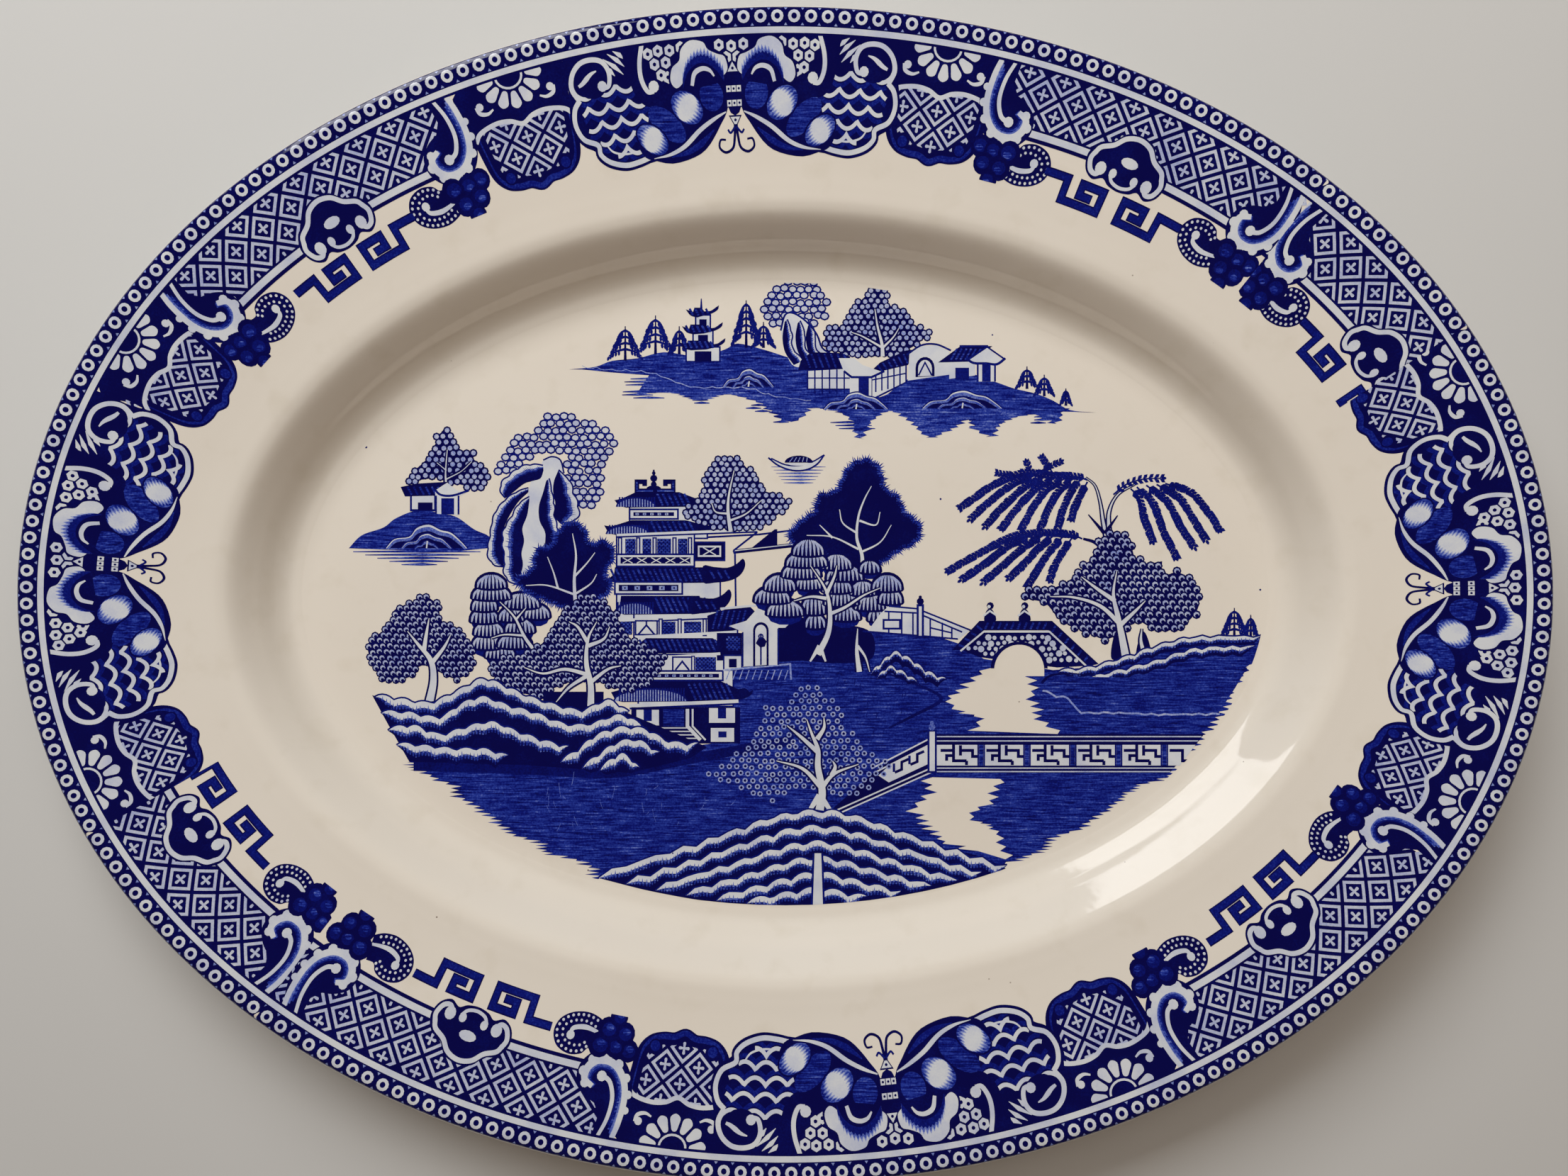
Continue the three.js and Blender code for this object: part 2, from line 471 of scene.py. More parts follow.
def dotted_scroll(pen):
    """A dark leaf with two rows of dots round a bare comma. Its head is towards +x."""
    leaf = [
        (-6.6, 26), (-4.4, 26.2), (-2.8, 24.6), (0.4, 23.9), (3.9, 25.1), (5.6, 28), (4.8, 31.2),
        (1.8, 33.4), (-2.4, 34.2), (-6, 33.4), (-8.4, 31.8),
    ]
    pen.fill(curve(leaf, 6))
    for depth, size in ((0.75, 0.38), (2.1, 0.36)):
        track = curve([(x - (x + 1.2) * depth / 6.3, y - (y - 29.2) * depth / 5) for x, y in leaf[1:]], 8)
        lengths = run_lengths(track)
        for at in np.arange(0.3, lengths[-1], 1.4):
            pen.dot(*point_at(track, lengths, at), size, TINT, 7)
    pen.bend([(-8, 29.6), (-5, 30.4), (-2.2, 30.7), (0.5, 30), (1.2, 28.8)], (0.7, 1.3, 1), TINT)
    pen.dot(1, 28.2, 1.1, TINT)


def scroll(pen):
    """The great curl at the end of a panel. Its open side is towards +x."""
    back = [
        (-3.8, PANEL_TOP), (-6.4, 12), (-7, 17), (-5.6, 22.4), (-2, 26), (3.4, 26.6), (7.4, 23),
        (7.6, 18.6), (5, 15.8), (2, 14.4),
    ]
    pen.fill(np.vstack([curve(back), [(0.4, 12), (1, PANEL_TOP)]]))
    rim = curve(
        [
            (-3.8, PANEL_TOP), (-4.8, 11.2), (-5.2, 16.7), (-4, 21), (-1, 23.9), (2.9, 24.2), (5.4, 22.2),
            (5.7, 19.4), (3.4, 18),
        ]
    )
    for share, ink in ((0.74, STRONG), (0.82, MID), (0.89, SOFT), (0.95, PALE)):
        nested = rim * (share, share) + ((1 - share) * 0.8, (1 - share) * 19)
        pen.line(nested, (0.8, 1.2, 1.5, 1.5, 1), ink)
    pen.line(rim, (1.2, 1.5, 1.7, 1.9, 1.9, 1.3), TINT)
    for x, y, r in (
        (-5.9, 14, 0.9), (-5.9, 17.6, 1), (-4.7, 21.2, 1.1), (-2.2, 24, 1.2), (1.2, 25, 1.3),
        (4.6, 23.9, 1.3), (6.4, 21, 1.2), (5.4, 18.4, 1.1),
    ):
        pen.dot(x, y, r, TINT)
    pen.bend(
        [(-0.4, PANEL_TOP), (-1.9, 11.6), (-2.2, 16.2), (-0.9, 19.6), (1, 20.8)], (0.9, 1.1, 1.2), TINT
    )
    pen.dot(1.5, 20.7, 1.25, TINT)


def grapes(pen):
    """A hanging cluster of dark fruit below a scroll."""
    for x, y, r in (
        (-4.3, 26.4, 2.4), (-0.8, 26.8, 2.3), (3.2, 26.6, 2.7), (-2.7, 30, 2.4), (1.8, 30.4, 2.5),
        (-0.4, 33.4, 2.1),
    ):
        pen.dot(x, y, r + 0.25, SOLID, 14)
        pen.oval(x - 0.2, y - 0.1, r * 0.72, r * 0.62, 0.86)
        pen.oval(x - 0.4, y + 0.4, r * 0.42, r * 0.3, 0.66)


def daisy(pen):
    """The half flower under the lip's line, on a dark ground between two hooks."""
    top = both_ways([(-13, 19.6), (-11, 17.8), (-6.6, 16.9), (-3, 17.3), (0, 18.6)])
    pen.fill(np.vstack([curve(top), [(13, PANEL_TOP), (-13, PANEL_TOP)]]))
    pen.bend(top, 1.15, TINT)
    pen.line(arc(0, PANEL_TOP + 0.3, 3.2, 2.9, 0, 180, 12), 0.6, TINT)
    petal = [(4.2, -0.5), (5.5, -0.95), (7.2, -1.25), (8.1, 0), (7.2, 1.25), (5.5, 0.95), (4.2, 0.5)]
    for turn in range(9, 180, 27):
        pen.at(0, 6.9, turn=turn).fill(curve(petal, 3, closed=True), TINT)
    for flip in (1, -1):
        hook = pen.at(0, 0, flip=flip)
        hook.bend([(6, 13.6), (7.6, 14.2), (9.4, 13.6), (9.8, 12)], (0.5, 1, 1), TINT)
        hook.dot(9, 12.2, 0.95, TINT)


def lobe(pen):
    """The hanging fan below a daisy, filled with small diamonds."""
    side = [(12.8, 17), (12.6, 23), (11.8, 28.6), (9.6, 31.6), (6.4, 32.8), (3.2, 33), (0, 34)]
    edge = curve(mirrored(side[::-1] + [(12.8, PANEL_TOP)]), 5)
    pen.fill(edge)
    for row in range(5):
        for x in np.arange(-13.2 + row % 2 * 4.4, 14, 8.8):
            if abs(x) < 13.5 - row * 1.1:
                diamond(pen, x, 17.6 + row * 4.1)
    around = [(-16, 17), (-16, 38), (16, 38), (16, 17)]
    pen.fill(np.vstack([curve(side), curve([(-x, y) for x, y in side])[::-1], around]), CLEAR)
    hem = both_ways([(12, 18), (11.6, 23), (10.8, 28), (8.8, 30.6), (5.8, 31.6), (2.8, 31.8), (0, 32.9)])
    pen.bend(hem, 2.9)
    pen.line(curve(hem) + (0, 0.4), (0.3, 0.3, 1, 1.3, 1.2, 1.3, 1, 0.3, 0.3), 0.72)
    for flip in (1, -1):
        half = pen.at(0, 0, flip=flip)
        half.dot(7.6, 29.4, 1.9, SOLID, 12)
        half.dot(7.7, 29.6, 1.3, 0.76, 12)


def waves(pen):
    """Rows of cusped waves between a butterfly and its frame."""
    rows = ((17.4, 44), (21.4, 43.4), (25.2, 42.8), (28.9, 40.4), (32.2, 36))
    for row, (depth, end) in enumerate(rows):
        x = np.linspace(22, end, 49)
        cusp = 1 - abs(np.sin((x - 27 - row % 2 * 2.9) / 5.8 * math.pi)) ** 0.8
        pen.line(np.stack([x, depth + 1.5 - 1.9 * cusp], -1), 1, 0.78)
        pen.line(np.stack([x, depth - 1.9 * cusp], -1), 1.1, TINT)
    wisps = [
        ((30, 13.4), (34.8, 9)), ((29.4, 11.6), (33.4, 8)), ((29.2, 9.8), (31.8, 7.6)),
        ((32.4, 13.4), (35, 10.6)),
    ]
    for tip, foot in wisps:
        middle = np.add(tip, foot) / 2 - (0.3, 0)
        pen.line([tip, middle, foot], (0.2, 1.25, 0.2), TINT)


def honeycomb(pen):
    """Small dotted cells between a butterfly's wings and the hooks beside them."""
    cells = [
        (0, 9.6), (3.3, 9.2), (13.6, 9), (16.7, 9.4), (19.8, 9.2), (22.6, 9.6), (18.1, 12.1),
        (21.2, 12.2), (19.8, 14.9), (1.5, 12.2), (18, 15.6),
    ]
    for x, y in cells:
        pen.fill(arc(x, y, 1.45, 1.5, 30, 390, 6), TINT)
        pen.dot(x, y, 0.5, SOLID, 7)


def fringed(pen, x, y, wide, high, turn):
    """A bare patch on a wing, whose two ends are brushed with fine blue strokes."""
    patch = pen.at(x, y, turn=turn)
    patch.oval(0, 0, wide + 0.5, high + 0.4, SOLID, 18)
    patch.oval(0, 0, wide, high, MID, 18)
    rays = np.linspace(0, 2 * math.pi, 48, endpoint=False)
    for reach, ink in ((0.98, 0.55), (0.88, 0.36), (0.77, 0.18), (0.64, TINT)):
        teeth = wide * (reach - np.where(np.arange(48) % 2, 0.22, 0)) * np.cos(rays)
        patch.fill(np.stack([teeth, high * 0.96 * np.sin(rays)], -1), ink)


def wing(pen):
    """One side of a butterfly, towards +x."""
    outline = [
        (2.2, 17.6), (5.6, 16.4), (8.8, 17), (10.6, 19.4), (13.6, 18.4), (17.2, 19.2), (18.8, 22),
        (22, 22.2), (24.6, 23.2), (25.6, 25.6), (28, 26.4), (29.4, 28.6), (29.2, 31.6), (27, 34.2),
        (21, 35.4), (15.6, 35.4), (10.8, 34), (7.2, 31.4), (4.6, 28.2), (2, 24),
    ]
    pen.blob(outline, SOLID, 4)
    pen.at(20, 26.6, turn=-42).oval(0, 0, 6.3, 3.1, 0.7, 18)
    fringed(pen, 13.7, 23.2, 4.9, 3.6, -38)
    fringed(pen, 24.9, 29.7, 4.9, 3.2, -36)
    for wide, high, ink in ((3.8, 4.3, SOLID), (3.3, 3.8, 0.7)):
        pen.at(6.4, 20.9, turn=15).oval(0, 0, wide, high, ink, 18)
    pen.blob(
        [(6, 27), (10, 30.4), (15, 33), (22, 34.4), (27, 33.8), (20, 36), (11, 34.4), (6, 30)], SOLID, 4
    )
    pen.bend([(6.4, 29), (10.6, 32), (15, 33.8), (20, 34.4)], (0.3, 1.6, 1.2, 0.2), 0.74)
    pen.bend(
        [(2.6, 25), (6, 26.4), (10.6, 28.8), (15.6, 32.2), (20.4, 33.8), (25.4, 34.2)],
        (0.4, 1.1, 1.3, 1, 0.2), TINT,
    )
    outer = [
        (1.4, 15), (2, 12), (4, 11.2), (6.4, 10), (7.6, 8.2), (11, 7.6), (13.6, 9.4), (14.4, 12),
        (16.6, 13.6), (17.4, 16.6), (16, 18.4),
    ]
    inner = [(13.8, 17), (12.2, 14), (9.8, 12.3), (7.2, 12.3), (4.8, 14), (3.2, 16.4)]
    pen.line(curve(outer + inner, 4, True), 1, SOLID, closed=True)
    pen.blob([(1, 17), (3, 13), (7, 11), (11, 11.6), (14.4, 15.6), (14.4, 19), (8, 18.6)], SOLID, 4)
    pen.blob(outer + inner, TINT, 4)
    under = curve([(14.2, 17.8), (12.6, 14.4), (9.9, 12.4), (7.1, 12.4), (4.5, 14.2), (2.6, 16.8)], 6)
    for reach, ink in ((2.7, PALE), (2.1, SOFT), (1.3, STRONG)):
        teeth = under - np.outer(reach * (0.55 + 0.45 * (np.arange(len(under)) % 2)), (0.1, 1))
        pen.fill(np.vstack([teeth, (under + (0, 0.9))[::-1]]), ink)
    pen.bend(
        [(5.2, 16.4), (6.4, 14.9), (8.4, 14.4), (10.6, 15.4), (11.6, 18.2)], (0.5, 1.1, 1.3, 1), TINT
    )


def butterfly(pen):
    """A cartouche: a butterfly between waves, hooks and the frame's curls."""
    pen = pen.at(0, 0.3, size=0.96)
    lobes = [
        (43.4, 17.4), (45.4, 19.4), (46.2, 23), (44.8, 26.6), (41.2, 28.6), (41, 31), (38.6, 33.2),
        (34.2, 34.6), (30, 34.4), (26, 33.6),
    ]
    curl = [
        (43.4, 17.6), (44.8, 14.4), (43.8, 11.2), (41.2, 9), (38, 8.6), (35.2, 9.6), (33.9, 12.2),
        (34.5, 15.2), (36.2, 15.8),
    ]
    ground = [
        (45.8, 12), (46, 16), (47, 20), (47.2, 24), (45.4, 28), (42.4, 30), (41.8, 32.4), (38.8, 34.4),
        (34, 35.4), (28, 35.2), (18, 34),
    ]
    for flip in (1, -1):
        side = pen.at(0, 0, flip=flip)
        side.fill(np.vstack([[(0, PANEL_TOP), (45.4, PANEL_TOP)], curve(ground), [(3, 24), (0, 24)]]))
        waves(side)
        side.bend([(28, 31.6), (33, 32), (37, 31), (39, 28.6)], (0.3, 0.6, 0.6, 0.4), TINT)
        side.line(curve(lobes, 5) + (0.2, 0.2), 2.2)
        side.bend(lobes, 1.35, TINT, 5)
        side.dot(39, 12.8, 5, SOLID, 16)
        side.bend([(37.2, 11.4), (39, 12), (41.4, 13.6), (42.8, 14.2)], (0.4, 1.3, 0.8), TINT)
        side.bend(curl, (1.5, 1.3, 1.3, 1.3, 1.1), TINT, 5)
        side.dot(36.4, 15.2, 1.3, TINT)
        dark = [
            (22.8, PANEL_TOP), (29, PANEL_TOP), (28.9, 14), (27.6, 19), (24.8, 21.8), (20.4, 21.4),
            (18.4, 18.4), (19.4, 14), (22.4, 14),
        ]
        side.blob(dark, SOLID, 4)
        honeycomb(side)
        side.bend(
            [(23.8, PANEL_TOP), (25.2, 11.4), (25.4, 15.2), (24.2, 18.2), (22.4, 18.4)], (1.2, 1.3, 1.2),
            TINT,
        )
        side.dot(22.3, 17.3, 1.45, TINT)
    pen.fill([(0, 25), (7, 36.2), (-7, 36.2)], CLEAR)
    for flip in (1, -1):
        wing(pen.at(0, 0, flip=flip))
    pen.oval(0, 20.4, 2.5, 5.6)
    for y in (19.6, 23):
        for x in (-1.45, 0, 1.45):
            pen.fill(box(x - 0.62, y - 0.75, x + 0.62, y + 0.75), TINT)
            pen.dot(x, y, 0.34, SOLID, 6)
    for y in (14.6, 27.2):
        point = 1.9 if y > 20 else -1.9
        pen.fill([(0, y + point), (1.9, y - point * 0.7), (-1.9, y - point * 0.7)])
        pen.fill([(0, y + point * 0.7), (1.4, y - point * 0.5), (-1.4, y - point * 0.5)], TINT)
        pen.dot(0, y - point * 0.1, 0.4, SOLID, 6)
    for flip in (1, -1):
        half = pen.at(0, 0, flip=flip)
        feeler = [(0.2, 28), (0.5, 31), (1.2, 33.6), (3.4, 34.6), (5.2, 33.4), (4.8, 31.6), (3.2, 31.6)]
        half.bend(feeler, (0.7, 0.6, 0.55, 0.4))
        half.bend([(0.2, 28.6), (1.6, 30), (2.4, 29.2)], (0.5, 0.45))


def narrow_butterfly(pen):
    """The cartouche at the left end, a little narrower than the others."""
    butterfly(pen.at(0, 0, flip=0.93))


def panel_end(pen):
    """A scroll with fruit under it."""
    scroll(pen)
    grapes(pen.at(0.6, 0.2, size=1.03))


def flower_group(pen):
    """A fan with a daisy over it."""
    lobe(pen)
    daisy(pen)


# The four printed tissues of the border: where each starts and ends, and the middles of its
# motifs, clockwise from the middle of the far side. A minus sign turns a motif round.
BORDER_TISSUES = {
    "far_filler": {
        "range": (134, 181),
        "panels": [(134, 183)],
        "dotted": [148],
        "fret": [165, -185],
        "ruyi": [175],
        "end": [138],
    },
    "near_right": {
        "range": (181, 626),
        "panels": [(319, 394), (541, 626)],
        "dotted": [331, -383, 552, -605],
        "fret": [348, -364.5, 570, -587],
        "ruyi": [356.3, 578.5],
        "flower": [190, 301, 413, 522.5],
        "end": [318, -394, 541, -618.5],
        "butterfly": [246, 469],
    },
    "near_filler": {
        "range": (626, 684),
        "panels": [(626, 690)],
        "dotted": [642.5],
        "fret": [661, -679],
        "ruyi": [670],
        "end": [631.5],
    },
    "far_left": {
        "range": (684, 1125),
        "panels": [(828, 904), (1047, 1120)],
        "dotted": [840.5, -893, 1057, -1107],
        "fret": [860, -876.5, 1073, -1090],
        "ruyi": [868.3, 1081.5],
        "flower": [695.5, 810, 924, 1030],
        "end": [828, -904.5, 1047, -1119],
        "butterfly": [752],
        "narrow_butterfly": [978],
    },
}
MOTIFS = {
    "dotted": dotted_scroll,
    "fret": fret,
    "ruyi": ruyi,
    "flower": flower_group,
    "end": panel_end,
    "butterfly": butterfly,
    "narrow_butterfly": narrow_butterfly,
}


def draw_border(plan):
    """All the outlines of one border tissue."""
    shapes = []
    pen = Pen(shapes)
    for start, end in plan["panels"]:
        lattice(pen, start, end, phase=start * PANEL_SHIFT)
    for name, motif in MOTIFS.items():
        for place in plan.get(name, ()):
            motif(pen.at(abs(place), 0, flip=1 if place > 0 else -1))
    edge_band(pen, *plan["range"])
    return shapes


def make_border(name, plan):
    """One border tissue, laid on the rim."""
    start, end = plan["range"]
    limit = box(start, BAND_TOP, end, BORDER_FOOT)
    # Extra points, close together near the round lip, let the film follow the rim.
    rows = [(y, 2) for y in (1.1, 1.5, 2, 2.8, 3.8, 4.9)] + [(y, 4) for y in (8, 12, 16, 20, 24, 28, 32)]
    grid = [(x, y) for y, gap in rows for x in np.arange(start + 1.03, end - 1, gap)]
    shapes = draw_border(plan)
    return cut_film(f"border_tissue_{name}", shapes, limit, grid, lay_on_rim, 3, f"border_print_{name}")


# ---------------------------------------------------------------- what the centre scene is made of
HATCH = 0.69  # land and water, engraved in fine level lines
FAR_HATCH = 0.65  # the same, farther off
HATCH_MIDDLE, HATCH_REACH = 0.62, 0.1  # inks this near the middle are broken into level lines


def scalloped(path, pitch, rise):
    """A smooth line with arched bumps along its upper side."""
    line = curve(path, 8)
    return line + np.outer(abs(np.sin(math.pi * run_lengths(line) / pitch)) ** 0.8, (0, rise))


def ticks(pen, path, top, foot, ink, gap=0.42):
    """Short engraved strokes that rise from the dark into the light below a line."""
    along = run_lengths(path)
    for d in np.arange(gap, along[-1] - gap, gap) + random.uniform(-0.1, 0.1):
        x, y = point_at(path, along, d)
        ease = min(1, d / 3, (along[-1] - d) / 3)
        tip = y - (top + (foot - top) * random.uniform(0, 0.55)) * ease
        base = y - foot * ease
        pen.fill([(x - 0.22, base), (x + random.uniform(-0.1, 0.1), tip), (x + 0.22, base)], ink)


def ridge(pen, path, depth=2.6, body=3.4, pitch=4.6, rise=0.9):
    """A rock's wavy crest: a bare edge that is stippled down into the dark."""
    line = scalloped(path, pitch, rise)
    along = run_lengths(line)
    ease = np.minimum(1, np.minimum(along, along[-1] - along) / 3)
    drop = np.stack([0 * ease, ease], -1)
    for share, ink in ((body, SOLID), (depth, MID), (depth * 0.6, BARE)):
        pen.fill(np.vstack([line, (line - drop * share)[::-1]]), ink)
    pen.line(line + (0, 0.1), 0.3)
    ticks(pen, line, depth * 0.2, depth * 0.75, SOFT, 0.95)
    ticks(pen, line, depth * 0.36, depth * 1.05, SOLID, 0.75)


def spread(path, count):
    """Points at even steps along a path."""
    along = run_lengths(path)
    return np.stack(point_at(path, along, np.linspace(0, along[-1], count)), -1)


def fold(pen, bare_side, dark_side, steps=40):
    """One upright fold of rock, stippled from a bare edge into the dark."""
    bare, dark = spread(curve(bare_side, 6), steps), spread(curve(dark_side, 6), steps)
    bumps = abs(np.sin(np.linspace(0, math.pi * round(run_lengths(bare)[-1] / 3), steps)))[:, None]
    bare = bare + (bare - dark) * 0.1 * bumps
    pen.fill(np.vstack([bare, dark[::-1]]))
    for share, ink in ((0.5, HATCH), (0.4, SOFT), (0.28, BARE)):
        pen.fill(np.vstack([bare, (bare + (dark - bare) * share)[::-1]]), ink)
    for at in random.uniform(0.02, 0.98, steps * 2):
        i = int(at * (steps - 2))
        ink, root, reach = random.choice([(SOLID, 0.56, 0.3), (MID, 0.44, 0.08)])
        foot = bare + (dark - bare) * root
        tip = bare[i] + (dark[i] - bare[i]) * (reach + random.uniform(0, 0.1))
        pen.fill([foot[i], tip, foot[i] + (foot[i + 1] - foot[i]) * 0.8], ink)
    pen.line(bare, 0.28)


def stone(pen, x, y, wide, high):
    """A low rock with crests inside one another."""
    crest = [
        (-1, 0), (-0.78, 0.4), (-0.42, 0.5), (-0.24, 0.86), (0.06, 1), (0.34, 0.78), (0.6, 0.66),
        (0.84, 0.3), (1, 0),
    ]
    crest = curve(crest, 4)
    for share in (1, 0.62, 0.3):
        line = crest * (wide * share, high * share) + (x, y)
        lower = crest * (wide * share * 0.92, high * share * 0.76) + (x, y)
        pen.fill(line)
        pen.fill(np.vstack([line, (lower - (0, 0.3))[::-1]]), SOFT)
        pen.fill(np.vstack([line, (line * 0.5 + lower * 0.5)[::-1]]), BARE)
        pen.line(line, 0.22)
    pen.line([(x, y), (x + 0.2, y + high * 0.3)], 0.4, BARE)


def packed(outline, pitch):
    """Points of a staggered grid inside an outline, from its top row down."""
    low, high = outline.min(0), outline.max(0)
    rows = np.arange(high[1] - pitch * 0.45, low[1], -pitch * 0.82)
    points = []
    for i, y in enumerate(rows):
        points += [(x, y) for x in np.arange(low[0] + i % 2 * pitch / 2, high[0], pitch)]
    points = np.array(points) + random.uniform(-0.13, 0.13, (len(points), 2)) * pitch
    return points[inside(points, outline)]


def shrunk(outline, by):
    """An outline moved inward."""
    ahead = unit(np.roll(outline, -1, 0) - np.roll(outline, 1, 0))
    x, y = outline.T
    turning = np.sign((x * np.roll(y, -1) - np.roll(x, -1) * y).sum())
    return outline + np.c_[-ahead[:, 1], ahead[:, 0]] * by * turning


def foliage(pen, outline, pitch, style):
    """A crown of small rounds: beads, open rings, lapping scales, or berries on a dark ground."""
    outline = curve(outline, 5, closed=True)
    points = packed(outline, pitch)
    if style in ("beads", "scales"):
        pen.fill(shrunk(outline, 0.3 * pitch))
        around = arc(0, 0, 1.2 * pitch, steps=6)
        hidden = np.all([inside(points + step, outline) for step in around], axis=0)
        for x, y in points[~hidden]:
            pen.dot(x, y, 0.6 * pitch, SOLID, 8)
    for x, y in points:
        if style == "beads":
            pen.dot(x, y, 0.36 * pitch, 0.17, 7)
        if style == "rings":
            pen.oval(x, y, 0.6 * pitch, 0.54 * pitch, FINE_INK, 8)
            pen.oval(x, y, 0.4 * pitch, 0.33 * pitch, 0.08, 8)
        if style == "scales":
            pen.oval(x, y, 0.4 * pitch, 0.38 * pitch, 0.16, 7)
            pen.dot(x + 0.07 * pitch, y - 0.15 * pitch, 0.27 * pitch, SOLID, 6)
        if style == "berries":
            pen.dot(x, y, 0.35 * pitch, 0.2, 7)
            pen.dot(x, y, 0.19 * pitch, SOLID, 5)


def branches(pen, paths, width):
    """Bare branches with dark edges. The first is the trunk, from its foot up."""
    for extra, ink in ((0.7, SOLID), (0, BARE)):
        for i, path in enumerate(paths):
            foot = width if i == 0 else width * 0.6
            pen.bend(path, (foot + extra, foot * 0.65 + extra, 0.25 + extra * 0.6), ink)


def fringe(pen, line, reach, ink, gap=0.5):
    """Fine strokes that stand out all round the edge of a dark tree."""
    along = run_lengths(line)
    outward = line - shrunk(line, 1)
    for d in np.arange(0, along[-1], gap):
        x, y = point_at(line, along, d)
        ox, oy = point_at(outward, along, d)
        far = reach * random.uniform(0.35, 1)
        lean = random.uniform(-0.4, 0.4)
        tip = (x + far * (ox - lean * oy), y + far * (oy + lean * ox))
        pen.fill([(x - 0.2 * oy, y + 0.2 * ox), tip, (x + 0.2 * oy, y - 0.2 * ox)], ink)


def dark_tree(pen, outline, veins, width):
    """A solid tree with a fringed edge and bare veins."""
    smooth = curve(outline, 9, closed=True)
    smooth = np.vstack([smooth, smooth[:1]])
    bumps = 0.55 * abs(np.sin(math.pi * run_lengths(smooth) / 2.9))[:, None]
    line = smooth + (smooth - shrunk(smooth, 1)) * bumps
    fringe(pen, line, 1.3, MID, 0.5)
    pen.fill(line, HATCH)
    for inset, reach in ((0.9, 1.1), (1.7, 1)):
        fringe(pen, shrunk(line, inset), reach, SOLID, 0.62)
    pen.fill(shrunk(line, 0.9))
    branches(pen, veins, width)


def cap(pen, x, y, wide, high):
    """One dome of a weeping tree: pale fingers that hang from its top."""
    count = max(4, round(wide / 0.95))
    dome = arc(x, y + high * 0.1, wide / 2 + 0.3, high * 0.95 + 0.3, 0, 180, 12)
    pen.fill(np.vstack([dome, arc(x, y, wide / 2 + 0.3, 0.9, 180, 360, 8)]))
    for i in range(count):
        u = (i + 0.5) / count * 2 - 1
        drop = 0.35 * math.cos(u * 1.5)
        root = (x + 0.42 * u * wide / 2, y + high * (0.92 - 0.1 * u * u))
        knuckle = (x + 0.88 * u * wide / 2, y + high * (0.66 - 0.3 * u * u))
        tip = (x + u * wide / 2, y - drop)
        pen.bend([root, knuckle, tip], (0.3, 0.54, 0.62, 0.3), 0.14, 3)


def domes(pen, spots):
    """A crown of lapping domes over a dark ground."""
    for x, y, wide, high in spots:
        pen.oval(x, y - 0.3, wide / 2 - 0.2, high * 0.75, STRONG, 10)
    for x, y, wide, high in spots[::-1]:
        cap(pen, x, y, wide * 1.04, high * 1.3)


def leaf(pen, x, y, length, turn, ink=FINE_INK, plump=0.5):
    """A leaf from its stalk at (x, y). A slim one has only four corners."""
    half = length * plump / 2
    if plump > 0.4:
        upper = [(length * 0.35, half), (length * 0.75, half * 0.95)]
    else:
        upper = [(length * 0.62, half * 1.3)]
    lower = [(along, -side) for along, side in upper[::-1]]
    pen.at(x, y, turn=turn).fill([(0, 0)] + upper + [(length, 0)] + lower, ink)


def frond(pen, path, length=1.5, gap=0.8):
    """A hanging willow twig with slim leaves in pairs."""
    line = curve(path, 8)
    at = run_lengths(line)
    pen.line(line, (0.34, 0.2))
    for d in np.arange(gap, at[-1], gap):
        x, y = point_at(line, at, d)
        ahead = np.subtract(point_at(line, at, d + 0.3), point_at(line, at, d - 0.3))
        turn = math.degrees(math.atan2(ahead[1], ahead[0]))
        for side in (-36, 36):
            leaf(pen, x, y, length * random.uniform(0.95, 1.2), turn + side, plump=0.4)
    leaf(pen, *line[-1], length * 0.9, turn)


def fir(pen, x, y, wide, high):
    """A small feathery conifer whose boughs droop."""
    pen.line([(x, y), (x, y + high)], (0.6, 0.15))
    tiers = max(3, round(high / 2.1))
    for tier in range(tiers):
        share = (tier + 1) / tiers
        reach, top = wide / 2 * (0.3 + 0.7 * share), y + high * (1.06 - 0.72 * share)
        fall = high * 0.2
        for side in (-1, 1):
            middle = (x + side * reach * 0.55, top - fall * 0.35)
            bough = curve([(x, top), middle, (x + side * reach, top - fall)], 3)
            pen.line(bough, (0.5, 0.4, 0.2))
            for px, py in bough[2:]:
                leaf(pen, px, py, high / tiers * 0.62, 270 + side * random.uniform(0, 20), STRONG, 0.44)


def jagged(points, reach, gap=0.75):
    """A shore line cut into level strokes of uneven length, as an engraver ends a hatch."""
    line = curve(points, 10)
    at = run_lengths(line)
    spots = np.arange(0, at[-1], gap)
    x, y = point_at(line, at, spots)
    knots = np.arange(0, at[-1] + 4, 4)
    swell = np.interp(spots, knots, random.uniform(-1, 1, len(knots)))
    far, near = random.uniform(0.3, 1, len(spots)), random.uniform(-0.4, 0, len(spots))
    push = np.where(np.arange(len(spots)) % 2, far, near)
    return np.stack([x + reach * (push + swell * 0.8), y], -1)


